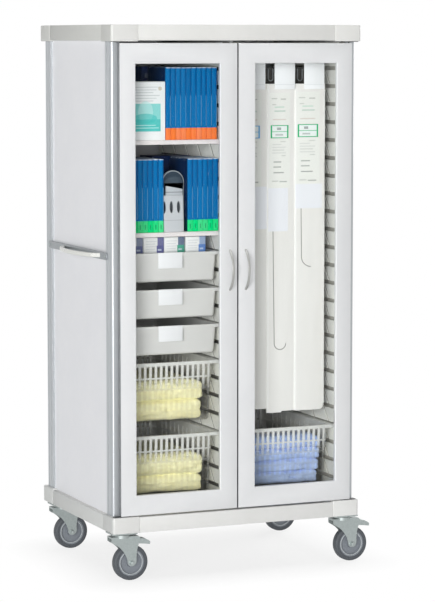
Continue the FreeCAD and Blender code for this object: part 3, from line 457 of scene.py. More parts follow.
@dataclass(frozen=True)
class CartonPrint(Finish):
    """Coated board in a row: a coloured band round the foot, plain stripes, worn edges and painted shade on
    the row's left side face.
    """

    colour: str
    second: str
    band: str
    foot: float
    tall: float
    pitch: float
    start: float
    front: float
    marks: float = 0.0
    band_height: float = 0.041
    collar: float = 0.61
    depth: float = 0.00008

    def shader(self, kit: NodeKit) -> Wire:
        """Returns: the shader."""
        x, y, z = kit.axes()
        cell = (x - self.start) / self.pitch
        across = kit.math("FRACT", cell)
        number = kit.math("FLOOR", cell)
        shade = kit.add("ShaderNodeTexWhiteNoise", {"noise_dimensions": "1D"}, {"W": number}, "Value")
        fibre = kit.noise(300.0, 5.0)
        wear = kit.noise(70.0, 5.0)
        speck = (fibre - 0.5) * 0.3
        up = z - self.foot
        collar = self.tall * self.collar
        body = kit.mix(shade * 0.6 + speck, srgb(self.colour), srgb(self.second))
        stripe = kit.inside(across, 0.74, 0.96) * (up > collar)
        body = kit.mix(stripe * 0.6, body, srgb("0A4785"))
        seam = kit.inside(across, 0.86, 0.94) * kit.inside(up, self.band_height + 0.006, collar)
        body = kit.mix(seam * 0.7, body, srgb("86BEE6"))
        band = kit.mix((shade - 0.4) * 0.5 + speck, srgb(self.band), srgb("FFFFFF"))
        band = kit.mix(0.75, band, srgb(self.band))
        mark = kit.inside(across, 0.36, 0.58) * kit.inside(up, 0.011, 0.027)
        band = kit.mix(mark * self.marks, band, srgb("0C5E40"))
        band = kit.mix((across > 0.95) * 0.35, band, srgb("553322"))
        colour = kit.mix(up < self.band_height, body, band)
        # The row's left side face behind its front is painted dark navy: painted shade.
        side = (x < self.start + 0.0017) * (y > self.front + 0.006)
        colour = kit.mix(side * 0.95, colour, srgb("0B1D42"))
        rubbed = (wear - 0.66) * 5.0 * (across < 0.08) + (up > self.tall - 0.003) * (wear + 0.2)
        colour = kit.mix(rubbed, colour, srgb("E6ECF0"))
        return kit.surface(Base_Color=colour, Roughness=0.5 + (fibre - 0.5) * 0.2, Specular_IOR_Level=0.12,
                           Normal=kit.bump(fibre, self.depth))


@dataclass(frozen=True)
class Patch:
    """A printed shape in the plane of the doors: x and z limits, a colour, oval if wanted."""

    left: float
    right: float
    low: float
    high: float
    colour: str
    strength: float = 1.0
    oval: bool = False

    def cover(self, kit: NodeKit, x: Wire, z: Wire) -> Wire:
        """Where the shape lies.

        Args:
            kit: kit of the material.
            x: sideways coordinate.
            z: upright coordinate.

        Returns:
            The strength inside the shape, else nought.
        """
        if not self.oval:
            return kit.inside(x, self.left, self.right) * kit.inside(z, self.low, self.high) * self.strength
        a = (x - (self.left + self.right) / 2) / ((self.right - self.left) / 2)
        b = (z - (self.low + self.high) / 2) / ((self.high - self.low) / 2)
        return (a * a + b * b < 1.0) * self.strength


@dataclass(frozen=True)
class BentLine:
    """A thin printed line that runs down and ends in a bend to the right."""

    at: float
    top: float
    low: float
    radius: float
    reach: float
    half: float = 0.0015
    lean: float = 0.014
    colour: str = "77736C"

    def cover(self, kit: NodeKit, x: Wire, z: Wire) -> Wire:
        """Where the line lies.

        Args:
            kit: kit of the material.
            x: sideways coordinate.
            z: upright coordinate.

        Returns:
            The strength on the line, else nought.
        """
        below = z - self.low
        aside = x - (self.at + self.radius)
        leaning = x + below * self.lean
        stem = kit.inside(leaning, self.at - self.half, self.at + self.half)
        stem = stem * kit.inside(z, self.low, self.top)
        far = (aside * aside + below * below) ** 0.5
        bend = kit.inside(far, self.radius - self.half, self.radius + self.half)
        return (stem + bend * (z < self.low) * (x < self.at + self.reach)) * 0.85


@dataclass(frozen=True)
class Printed(Finish):
    """Paper, board or film with plain printed rectangles, ovals and at most one bent line."""

    colour: str
    shade: str
    patches: tuple[Patch, ...] = ()
    line: Optional[BentLine] = None
    roughness: float = 0.5
    fibre: float = 420.0
    coat: float = 0.0
    crease: float = 0.0006
    shine: float = 0.2

    def shader(self, kit: NodeKit) -> Wire:
        """Returns: the shader."""
        x, _, z = kit.axes()
        fibre = kit.noise(self.fibre, 4.0)
        cloud = kit.noise(9.0, 4.0, (1.0, 1.0, 0.4))
        colour = kit.mix((cloud - 0.3) * 0.8 + (fibre - 0.5) * 0.5, srgb(self.colour), srgb(self.shade))
        for shape in (*self.patches, *([self.line] if self.line else [])):
            colour = kit.mix(shape.cover(kit, x, z), colour, srgb(shape.colour))
        return kit.surface(Base_Color=colour, Roughness=self.roughness + (fibre - 0.5) * 0.15,
                           Coat_Weight=self.coat, Coat_Roughness=0.15, Specular_IOR_Level=self.shine,
                           Normal=kit.bump(cloud * 3.0 + fibre * 0.15, self.crease))


@dataclass(frozen=True)
class FoldedCloth(Finish):
    """Light nonwoven cloth with a fine weave, soft creases and shade painted into the creases."""

    colour: str
    shade: str
    thread: float = 5200.0
    depth: float = 0.0012

    def shader(self, kit: NodeKit) -> Wire:
        """Returns: the shader."""
        x, y, z = kit.axes()
        weave = kit.math("SINE", x * self.thread) * kit.math("SINE", (z + y) * self.thread)
        crease = kit.noise(30.0, 6.0, (0.35, 1.0, 1.6))
        cloud = kit.noise(12.0, 3.0)
        # The colour darkens with the crease noise that also makes the bumps: painted shade in the creases,
        # with random tone from the cloud.
        tone = (crease - 0.42) * 1.8 + (cloud - 0.5) * 0.5
        colour = kit.mix(tone, srgb(self.colour), srgb(self.shade))
        return kit.surface(Base_Color=colour, Roughness=0.85 + (crease - 0.5) * 0.1, Sheen_Weight=0.25,
                           Sheen_Roughness=0.5, Normal=kit.bump(crease * 6.0 + weave * 0.05, self.depth))


class Choice(Enum):
    """A choice of shared finishes."""

    @property
    def material(self) -> Material:
        """The built material, made once."""
        return self.value.build()


class Paint(Choice):
    """Finishes that several sub-assemblies share."""

    PANEL = Moulding("panel_laminate", "EBECEF", "E3E5E9", 0.4)
    INNER = Moulding("inner_sheet", "D6D8D6", "C4C7C6", 0.5)
    SHELF = Moulding("shelf_coat", "F2EAE9", "E8E1E0", 0.38)
    TRAY = Moulding("tray_moulding", "DAD8D5", "CECCC9", 0.36, 0.0001)
    LABEL = Moulding("label_plate", "F1F0F1", "E8E7E8", 0.42)
    BLACK = Moulding("pivot_coat", "26282A", "3A3C3E", 0.45)
    HUB = Moulding("hub_moulding", "7D8289", "6E747B", 0.45)
    HUB_RING = Moulding("hub_ring", "ABB0B3", "9AA0A4", 0.4)
    PLATE = Moulding("hook_plate_coat", "4A4845", "5E5B57", 0.5)
    POST = DrawnMetal("post_anodised", "BDC0C2", "A9AEB2", (1.0, 1.0, 0.01))
    RAIL = DrawnMetal("push_rail_metal", "9CA0A3", "8B9094", (1.0, 0.01, 1.0))
    HANDLE = DrawnMetal("handle_metal", "B3B3B0", "9D9E9C", (1.0, 1.0, 0.02), 0.32)
    GRIP = DrawnMetal("grip_metal", "E4E4DF", "D0D1CD", (1.0, 0.02, 1.0), 0.3, 0.35)
    WIRE = DrawnMetal("hook_metal", "C4C7C9", "A8ADB0", (1.0, 0.02, 1.0), 0.25, 0.9)
    ZINC = ZincPlate("zinc_plate", "ADB5B4", "969E9D")
    GLASS = WindowGlass("window_glass", "FDFEFE")
    TYRE = WheelRubber("tyre_rubber", "484C51", "62656A")


class Gown(Choice):
    """Colours of the folded gowns."""

    YELLOW = FoldedCloth("gown_yellow", "FFFBD0", "FFF6B8")
    BLUE = FoldedCloth("gown_blue", "B6CBFA", "94AFEA")


# Modelling by hand


class Bench:
    """Operators that add a primitive at its place and shape it."""

    TURNS = {"X": (0.0, math.pi / 2, 0.0), "Y": (math.pi / 2, 0.0, 0.0), "Z": (0.0, 0.0, 0.0)}

    @staticmethod
    def pick(piece: Piece) -> None:
        """Selects one object alone and makes it active."""
        bpy.ops.object.select_all(action="DESELECT")
        piece.select_set(True)
        bpy.context.view_layer.objects.active = piece

    @staticmethod
    def settle(piece: Piece, name: str) -> Piece:
        """Names a piece and puts its place into its mesh."""
        piece.name = name
        piece.data.name = name
        Bench.pick(piece)
        bpy.ops.object.transform_apply(location=True, rotation=True, scale=True)
        return piece

    @staticmethod
    def apply(piece: Piece, kind: str, **settings: object) -> None:
        """Adds a modifier, sets it and applies it.

        Args:
            piece: object to shape.
            kind: modifier type.
            settings: the modifier's properties.
        """
        Bench.pick(piece)
        modifier = piece.modifiers.new(kind.lower(), kind)
        for key, value in settings.items():
            setattr(modifier, key, value)
        bpy.ops.object.modifier_apply(modifier=modifier.name)

    @staticmethod
    def bevel(piece: Piece, width: float, segments: int = 2, angle: float = 30.0) -> None:
        """Rounds the edges that turn by more than an angle."""
        Bench.apply(piece, "BEVEL", width=width, segments=segments, limit_method="ANGLE",
                    angle_limit=math.radians(angle), harden_normals=False)

    @staticmethod
    def smooth(piece: Piece, angle: float = 35.0) -> None:
        """Shades a piece smooth except at its hard edges."""
        Bench.pick(piece)
        bpy.ops.object.shade_smooth_by_angle(angle=math.radians(angle))

    @staticmethod
    def block(name: str, low: Sequence[float], high: Sequence[float], width: float,
              segments: int = 2) -> Piece:
        """A block between two corners, with rounded edges if wanted.

        Args:
            name: name of the piece.
            low: lowest corner.
            high: highest corner.
            width: rounding of the edges, nought for sharp ones.
            segments: steps of the rounding.

        Returns:
            The piece.
        """
        low, high = Vector(low), Vector(high)
        bpy.ops.mesh.primitive_cube_add(size=1.0, location=(low + high) / 2)
        piece = bpy.context.active_object
        piece.scale = high - low
        Bench.settle(piece, name)
        if width > 0:
            Bench.bevel(piece, width, segments)
            Bench.smooth(piece)
        return piece

    @staticmethod
    def turned(name: str, centre: Sequence[float], radius: float, depth: float, axis: str,
               width: float, vertices: int, dish: float = 0.0) -> Piece:
        """A round piece with rounded rims and, if wanted, dished ends.

        Args:
            name: name of the piece.
            centre: its middle.
            radius: outer radius.
            depth: length along the axis.
            axis: X, Y or Z.
            width: rounding of the rims, nought for sharp ones.
            vertices: sides of the circle.
            dish: depth of a dish in both ends.

        Returns:
            The piece.
        """
        bpy.ops.mesh.primitive_cylinder_add(vertices=vertices, radius=radius, depth=depth, location=centre,
                                            rotation=Bench.TURNS[axis])
        piece = Bench.settle(bpy.context.active_object, name)
        if dish:
            # Edit mode selects by vertices the first time, so the sides of the first screw are inset too
            index = "XYZ".index(axis)
            for face in piece.data.polygons:
                face.select = abs(face.normal[index]) > 0.9
            Bench.pick(piece)
            bpy.ops.object.mode_set(mode="EDIT")
            bpy.ops.mesh.select_mode(type="FACE")
            bpy.ops.mesh.inset(thickness=radius * 0.22, use_individual=True)
            bpy.ops.transform.shrink_fatten(value=-dish)
            bpy.ops.object.mode_set(mode="OBJECT")
        if width > 0:
            Bench.bevel(piece, width)
        Bench.smooth(piece)
        return piece

    @staticmethod
    def ring(name: str, centre: Sequence[float], major: float, minor: float,
             flat: float = 1.0) -> Piece:
        """A ring of round section about a line from front to back, flattened along it if wanted."""
        bpy.ops.mesh.primitive_torus_add(location=centre, rotation=Bench.TURNS["Y"], major_radius=major,
                                         minor_radius=minor, major_segments=64, minor_segments=12)
        piece = bpy.context.active_object
        piece.scale = (1.0, 1.0, flat)
        Bench.settle(piece, name)
        Bench.smooth(piece, 60.0)
        return piece

    @staticmethod
    def softened(node: str, width: float, segments: int) -> Piece:
        """A copy of a node's shape with its edges eased, standing for the node.

        Args:
            node: node to copy.
            width: rounding of the edges.
            segments: steps of the rounding.

        Returns:
            The piece.
        """
        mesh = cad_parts[node].data.copy()
        mesh.materials.clear()
        piece = bpy.data.objects.new(f"{node}_eased", mesh)
        bpy.context.scene.collection.objects.link(piece)
        Bench.pick(piece)
        bpy.ops.object.mode_set(mode="EDIT")
        bpy.ops.mesh.select_all(action="SELECT")
        bpy.ops.mesh.remove_doubles(threshold=0.00001)
        bpy.ops.mesh.dissolve_limited(angle_limit=math.radians(1.0))
        bpy.ops.object.mode_set(mode="OBJECT")
        Bench.bevel(piece, width, segments)
        Bench.smooth(piece)
        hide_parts(node)
        return piece

    @staticmethod
    def joined(name: str, pieces: Sequence[Piece]) -> Piece:
        """Several pieces made one object."""
        Bench.pick(pieces[0])
        for piece in pieces[1:]:
            piece.select_set(True)
        bpy.ops.object.join()
        pieces[0].name = name
        pieces[0].data.name = name
        return pieces[0]

    @staticmethod
    def copied(piece: Piece, name: str, offset: Sequence[float]) -> Piece:
        """A copy with a mesh of its own, moved by an offset."""
        mesh = piece.data.copy()
        mesh.transform(Matrix.Translation(offset))
        mesh.name = name
        made = bpy.data.objects.new(name, mesh)
        bpy.context.scene.collection.objects.link(made)
        return made

    @staticmethod
    def repeated(name: str, piece: Piece, step: Sequence[float], count: int) -> Piece:
        """A piece and its copies at equal steps, made one object.

        Args:
            name: name of the whole.
            piece: the first one.
            step: way from one to the next.
            count: number of pieces.

        Returns:
            The whole.
        """
        copies = [Bench.copied(piece, "copy", Vector(step) * number) for number in range(1, count)]
        return Bench.joined(name, [piece, *copies])

    @staticmethod
    def divided(piece: Piece, cuts: int) -> None:
        """Subdivides every face of a piece."""
        Bench.pick(piece)
        bpy.ops.object.mode_set(mode="EDIT")
        bpy.ops.mesh.select_all(action="SELECT")
        bpy.ops.mesh.subdivide(number_cuts=cuts)
        bpy.ops.object.mode_set(mode="OBJECT")


def dress(piece: Piece, material: Material, body: str) -> None:
    """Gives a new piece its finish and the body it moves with.

    Args:
        piece: the piece.
        material: its finish.
        body: name of the moving body.
    """
    piece.data.materials.clear()
    piece.data.materials.append(material)
    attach(piece, body)
    log.info("%s on %s", piece.name, body)


def ease(node: str, width: float, material: Material, body: str = "cabinet",
         segments: int = 2) -> None:
    """Stands a dressed copy with eased edges in for a node.

    Args:
        node: name of the node.
        width: rounding of the edges.
        material: the finish.
        body: name of the moving body.
        segments: steps of the rounding.
    """
    dress(Bench.softened(node, width, segments), material, body)


def stock(piece: Piece, finish: Finish, body: str = "cabinet") -> None:
    """Dresses a piece of the stored goods.

    Args:
        piece: the piece.
        finish: its finish.
        body: name of the moving body.
    """
    dress(piece, finish.build(), body)


def cover(name: str, material: Material) -> None:
    """Gives one node a better finish.

    Args:
        name: name of the node.
        material: the finish.
    """
    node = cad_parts[name]
    if not node.material_slots:
        node.data.materials.append(material)
    for slot in node.material_slots:
        slot.material = material
    log.info("%s in %s", name, material.name)


def repaint(paint: Paint, *nodes: str) -> None:
    """Gives nodes a shared finish.

    Args:
        paint: the finish.
        nodes: names of the nodes.
    """
    for name in nodes:
        cover(name, paint.material)


def bars(limits: Limits, count: int, pitch: float, cut: float, cycle: int, colour: str) -> list[Patch]:
    """Plain printed bars under one another, some of them shorter.

    Args:
        limits: left, right, low and high of the first bar.
        count: number of bars.
        pitch: distance down to the next bar.
        cut: what each bar of a cycle is shorter than the one before.
        cycle: bars in a cycle.
        colour: their colour.

    Returns:
        The bars.
    """
    left, right, low, high = limits
    return [Patch(left, right - cut * (n % cycle), low - pitch * n, high - pitch * n, colour, 0.8)
            for n in range(count)]


# Sub-assemblies


@dataclass
class Carcass:
    """Base, top, posts, panels, liners and shelves."""

    block_edge: float = 0.0028
    rail_edge: float = 0.0014
    shelf_edge: float = 0.0008
    trim_skin: float = 0.004
    trim_roughness: float = 0.45
    # Each trim lists its end, colour, patch colour and side colour; the side colour is painted shade on the
    # side faces.
    trims: tuple[tuple[str, str, str, str], ...] = (
        ("base", "DDDDDB", "D1D2CE", "CDCFCD"),
        ("top", "DBDBD8", "CFD0CC", "CBCCC8"),
    )

    def liner(self, column: str, place: str) -> None:
        """Finishes one liner, with shade painted behind its pads.

        Args:
            column: left or right.
            place: outer or inner.
        """
        name = f"liner_{column}_{place}"
        low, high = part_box(name)
        faces_right = (column == "left") == (place == "outer")
        face, inward = (high.x, -1.0) if faces_right else (low.x, 1.0)
        # Colour of the painted shade in the slots, much darker in the left column.
        recess_shade = "45423D" if column == "left" else "B4B1A8"
        cover(name, LinerMoulding(f"{name}_moulding", face, inward, recess_shade).build())

    def build(self) -> None:
        """Eases the moulded trim and finishes the sheets."""
        for end, colour, shade, side in self.trims:
            blocks = f"{end}_corner_blocks"
            low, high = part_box(blocks)
            trim = EdgedFoil(f"{end}_trim", colour, shade, side, low.x, high.x, low.y,
                             self.trim_skin, self.trim_roughness).build()
            ease(blocks, self.block_edge, trim, segments=3)
            ease(f"{end}_rails", self.rail_edge, trim)
        for name in ("shelf_upper", "shelf_lower"):
            ease(name, self.shelf_edge, Paint.SHELF.material)
        repaint(Paint.POST, *(f"post_{end}_{side}" for end in ("front", "rear") for side in SIDES))
        repaint(Paint.PANEL, "side_panel_left", "side_panel_right", "rear_panel", "top_panel")
        repaint(Paint.INNER, "base_deck", "ceiling_panel", "centre_partition")
        for column in SIDES:
            for place in ("outer", "inner"):
                self.liner(column, place)
        repaint(Paint.BLACK, "door_pivots")


@dataclass
class Door:
    """One glazed door: frame with shade painted on its side faces, glass and handle."""

    side: str
    edge: float = 0.0016

    def build(self) -> None:
        """Eases the frame and finishes frame, glass and handle."""
        leaf = f"door_frame_{self.side}"
        low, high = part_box(leaf)
        # The third colour is painted shade on the frame's side faces, in the gaps beside the door.
        foil = EdgedFoil(f"door_foil_{self.side}", "DCDDDE", "D2D4D6", "686B6E", low.x, high.x, low.y)
        ease(leaf, self.edge, foil.build(), f"{self.side}_door")
        repaint(Paint.GLASS, f"door_glass_{self.side}")
        repaint(Paint.HANDLE, f"door_handle_{self.side}")


@dataclass
class PushHandles:
    """Flat rails and bowed grips on both sides, with end screws."""

    edge: float = 0.0012
    screw_inset: float = 0.016
    screw_radius: float = 0.0048
    screw_depth: float = 0.0022
    screw_rise: float = 0.0008
    screw_edge: float = 0.0005
    screw_dish: float = 0.0006

    def build(self) -> None:
        """Finishes rails and grips and sets the rail screws."""
        for side, out in zip(SIDES, (-1.0, 1.0)):
            rail = f"push_rail_{side}"
            ease(rail, self.edge, Paint.RAIL.material)
            repaint(Paint.GRIP, f"push_grip_{side}")
            low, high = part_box(rail)
            outside = low.x if out < 0 else high.x
            screws = []
            for y in (low.y + self.screw_inset, high.y - self.screw_inset):
                centre = (outside + out * self.screw_rise, y, (low.z + high.z) / 2)
                screws.append(Bench.turned("screw", centre, self.screw_radius, self.screw_depth, "X",
                                           self.screw_edge, 28, self.screw_dish))
            dress(Bench.joined(f"push_rail_screws_{side}", screws), Paint.ZINC.material, "cabinet")


@dataclass
class Trays:
    """Three trays with label plates."""

    names: tuple[str, ...] = ("tray_upper", "tray_middle", "tray_lower")
    label_edge: float = 0.0006

    def build(self) -> None:
        """Finishes the trays and eases the labels."""
        for name in self.names:
            repaint(Paint.TRAY, name)
            ease(f"{name}_label", self.label_edge, Paint.LABEL.material, name)


@dataclass
class Baskets:
    """Three clear baskets."""

    names: tuple[str, ...] = ("basket_upper_left", "basket_lower_left", "basket_lower_right")

    def build(self) -> None:
        """Finishes the baskets."""
        for name in self.names:
            low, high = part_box(name)
            cover(name, ClearMoulding(f"{name}_moulding", high.z, (low.x + high.x) / 2).build())


@dataclass
class HangingRail:
    """Hook rail, hooks and cards of the right column, with a plate and a wire loop at each hook."""

    pitch: float = 0.115
    hooks: int = 3
    card_edge: float = 0.0006
    dash_rise: float = 0.016
    dash_pitch: float = 0.006
    dash_long: float = 0.004
    dash_tall: float = 0.0014
    dashes: int = 52
    plate_wide: float = 0.066
    plate_drop: float = 0.052
    plate_thick: float = 0.003
    plate_edge: float = 0.0008
    wire: float = 0.0017
    wire_edge: float = 0.0003
    loop_legs: tuple[float, float] = (-0.023, -0.005)
    loop_ahead: float = 0.0045
    loop_drop: float = 0.029
    loop_rise: float = 0.005

    def cards(self) -> None:
        """Eases the cards and prints a dashed line along their foot."""
        low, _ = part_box("hook_cards")
        foot = low.z + self.dash_rise
        lefts = (low.x + self.dash_pitch * n for n in range(self.dashes))
        line = tuple(Patch(x, x + self.dash_long, foot, foot + self.dash_tall, "C9CBCE", 0.8) for x in lefts)
        finish = Printed("card_print", "FBFBFC", "F3F4F6", line, roughness=0.42, crease=0.0001)
        ease("hook_cards", self.card_edge, finish.build())

    def loop(self, left: float, right: float, y: float, low: float, high: float) -> Piece:
        """A wire bent to a U.

        Args:
            left: x of one leg.
            right: x of the other leg.
            y: depth of the loop.
            low: middle of the bend.
            high: upper end of the legs.

        Returns:
            The piece.
        """
        bend = Bench.ring("bend", ((left + right) / 2, y, low), (right - left) / 2, self.wire)
        for vertex in bend.data.vertices:
            vertex.co.z = min(vertex.co.z, low)
        middle = (left, y, (low + high) / 2)
        leg = Bench.turned("leg", middle, self.wire, high - low, "Z", self.wire_edge, 20)
        legs = Bench.repeated("legs", leg, (right - left, 0.0, 0.0), 2)
        return Bench.joined("loop", [bend, legs])

    def build(self) -> None:
        """Finishes the rail, eases the cards and sets plates and loops."""
        repaint(Paint.WIRE, "hook_rail", "supply_hooks")
        self.cards()
        card_low, card_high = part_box("hook_cards")
        low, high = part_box("hook_rail")
        half = self.plate_wide / 2
        x = (card_low.x + card_high.x) / 2 - self.pitch
        step = (self.pitch, 0.0, 0.0)
        plate = Bench.block("plate", (x - half, low.y - self.plate_thick, low.z - self.plate_drop),
                            (x + half, low.y, high.z), self.plate_edge)
        plates = Bench.repeated("hook_plates", plate, step, self.hooks)
        dress(plates, Paint.PLATE.material, "cabinet")
        left, right = (x + leg for leg in self.loop_legs)
        loop = self.loop(left, right, low.y - self.loop_ahead, low.z - self.loop_drop,
                         low.z + self.loop_rise)
        loops = Bench.repeated("hook_loops", loop, step, self.hooks)
        dress(loops, Paint.HUB_RING.material, "cabinet")


@dataclass
class Caster:
    """One swivel caster: fork, hub, tyre, rim rings and axle nuts."""

    corner: str
    rim: float = 0.0415
    rim_wire: float = 0.0022
    rim_flat: float = 0.8
    rim_sink: float = 0.0026
    nut_radius: float = 0.0075
    nut_depth: float = 0.005
    nut_sink: float = 0.0006
    nut_edge: float = 0.0005

    def build(self) -> None:
        """Finishes the parts and adds rim rings and axle nuts."""
        fork = f"caster_fork_{self.corner}"
        tyre = f"caster_tyre_{self.corner}"
        repaint(Paint.ZINC, fork)
        repaint(Paint.HUB, f"caster_hub_{self.corner}")
        repaint(Paint.TYRE, tyre)
        low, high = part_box(tyre)
        fork_low, fork_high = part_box(fork)
        centre = (low + high) / 2
        ring = Bench.ring("rim_ring", (centre.x, low.y + self.rim_sink, centre.z), self.rim, self.rim_wire,
                          self.rim_flat)
        step = (0.0, high.y - low.y - 2 * self.rim_sink, 0.0)
        rings = Bench.repeated(f"rim_rings_{self.corner}", ring, step, 2)
        dress(rings, Paint.HUB_RING.material, f"wheel_{self.corner}")
        nut = Bench.turned("nut", (centre.x, fork_low.y + self.nut_sink, centre.z), self.nut_radius,
                           self.nut_depth, "Y", self.nut_edge, 6)
        step = (0.0, fork_high.y - fork_low.y - 2 * self.nut_sink, 0.0)
        nuts = Bench.repeated(f"axle_nuts_{self.corner}", nut, step, 2)
        dress(nuts, Paint.ZINC.material, f"caster_{self.corner}")


@dataclass
class Casters:
    """Four casters, their mounts and the two brake pedals."""

    ends: tuple[str, ...] = ("front", "rear")

    def build(self) -> None:
        """Builds every caster."""
        repaint(Paint.ZINC, "caster_mounts", "brake_pedal_left", "brake_pedal_right")
        for end in self.ends:
            for side in SIDES:
                Caster(f"{end}_{side}").build()


@dataclass
class WhiteCarton:
    """A white carton with grey bars and a teal picture of plain shapes."""

    foot: float
    front: float
    left: float = -0.386
    right: float = -0.2448
    tall: float = 0.2018
    ahead: float = 0.004
    deep: float = 0.105
    edge: float = 0.0012
    picture: tuple[float, float] = (-0.372, -0.2618)

    def build(self) -> None:
        """Stands the carton on the shelf."""
        left, right, foot = self.left, self.right, self.foot
        top = foot + self.tall
        carton = Bench.block("supply_white_carton", (left, self.front - self.ahead, foot),
                             (right, self.front + self.deep, top), self.edge)
        lines = bars((left + 0.03, right - 0.02, top - 0.02, top - 0.0178), 6, 0.0095, 0.012, 3, "C2C8C8")
        teal = [
            Patch(*self.picture, foot + 0.0305, foot + 0.126, "93E0DB"),
            Patch(-0.345, -0.290, foot + 0.060, foot + 0.135, "C9F3F0", 0.6, True),
            Patch(*self.picture, foot + 0.0305, foot + 0.072, "4FCBC5", 0.85),
            Patch(-0.362, -0.275, foot + 0.058, foot + 0.092, "4FCBC5", 0.7, True),
            Patch(-0.362, -0.280, foot + 0.050, foot + 0.053, "C4F0EE", 0.8),
            Patch(-0.362, -0.268, foot + 0.041, foot + 0.044, "C4F0EE", 0.8),
            Patch(right - 0.026, right - 0.012, top - 0.031, top - 0.017, "D9D0BC", 0.8, True),
        ]
        stock(carton, Printed("white_carton_print", "FCFDFC", "F3F5F6", tuple(lines + teal)))


@dataclass
class BoardHolder:
    """A leaning board holder with three oval holes, one of them open at the edge."""

    foot: float
    face: float
    left: float = -0.2470
    right: float = -0.1730
    tall: float = 0.1272
    thick: float = 0.008
    lean: float = 0.008
    edge: float = 0.0016
    holes: tuple[float, ...] = (-0.2445, -0.2175, -0.1905)
    hole_rise: float = 0.086
    hole_radius: float = 0.0068
    hole_stretch: float = 3.1
    hole_depth: float = 0.02
    crease_rise: float = 0.040
    crease_tall: float = 0.0015

    def build(self) -> None:
        """Cuts the holes, leans the board back and prints its crease."""
        board = Bench.block("supply_holder", (self.left, self.face, self.foot),
                            (self.right, self.face + self.thick, self.foot + self.tall), self.edge, 3)
        level = self.foot + self.hole_rise
        for x in self.holes:
            cutter = Bench.turned("holder_hole", (x, self.face + self.thick / 2, level), self.hole_radius,
                                  self.hole_depth, "Y", 0.0, 40)
            for vertex in cutter.data.vertices:
                vertex.co.z = level + (vertex.co.z - level) * self.hole_stretch
            Bench.apply(board, "BOOLEAN", operation="DIFFERENCE", solver="EXACT", object=cutter)
            bpy.data.objects.remove(cutter)
        for vertex in board.data.vertices:
            vertex.co.y += self.lean * (vertex.co.z - self.foot) / self.tall
        Bench.smooth(board)
        low = self.foot + self.crease_rise
        crease = (Patch(self.left - 0.01, self.right + 0.01, low, low + self.crease_tall, "9A9DA1", 0.8),)
        stock(board, Printed("holder_print", "CDCFD2", "BCBFC3", crease, roughness=0.4))


@dataclass
class Booklet:
    """A booklet behind the holder, lower at its right, with its hidden lower part painted dark as shade."""

    foot: float
    face: float
    left: float = -0.2340
    right: float = -0.1705
    tall: float = 0.160
    behind: float = 0.018
    thick: float = 0.006
    slope: float = 0.012
    edge: float = 0.0012
    print_sides: tuple[float, float] = (-0.24, -0.16)

    def build(self) -> None:
        """Stands the booklet on the shelf."""
        foot = self.foot
        back = self.face + self.behind
        book = Bench.block("supply_booklet", (self.left, back, foot),
                           (self.right, back + self.thick, foot + self.tall), self.edge)
        for vertex in book.data.vertices:
            share = (vertex.co.x - self.left) / (self.right - self.left)
            vertex.co.z -= self.slope * share * (vertex.co.z > foot + self.tall / 2)
        # The second patch is painted shade on the part behind the holder, seen through its holes.
        shapes = (Patch(*self.print_sides, foot + 0.136, foot + 0.139, "777C82", 0.8),
                  Patch(*self.print_sides, foot - 0.01, foot + 0.118, "4A4E53"))
        stock(book, Printed("booklet_print", "C9CCCF", "B7BBBF", shapes))


@dataclass
class Bag:
    """A round-topped bag behind the booklet, dark inside a pale seam."""

    foot: float
    face: float
    middle: float = -0.2035
    crown: float = 0.1710
    radius: float = 0.0420
    half: float = 0.0415
    seam: float = 0.0385
    behind: float = 0.026
    thick: float = 0.012
    edge: float = 0.002

    def build(self) -> None:
        """Stands the bag on the shelf."""
        middle, foot, seam = self.middle, self.foot, self.seam
        crown = foot + self.crown
        back = self.face + self.behind
        disc = Bench.turned("bag_top", (middle, back + self.thick / 2, crown), self.radius, self.thick, "Y",
                            self.edge, 64)
        sack = Bench.block("bag_foot", (middle - self.half, back, foot),
                           (middle + self.half, back + self.thick, crown), self.edge)
        shapes = (
            Patch(middle - 0.06, middle + 0.06, foot - 0.1, foot + 0.3, "A6ADB2"),
            Patch(middle - seam, middle + seam, crown - seam, crown + seam, "303D4A", oval=True),
            Patch(middle - seam, middle + seam, foot, crown, "303D4A"),
            Patch(middle - 0.030, middle + 0.036, crown - 0.02, crown + 0.020, "4C5862", 0.7, True),
        )
        finish = Printed("bag_print", "8E969B", "7E868C", shapes, roughness=0.3)
        stock(Bench.joined("supply_bag", [disc, sack]), finish)


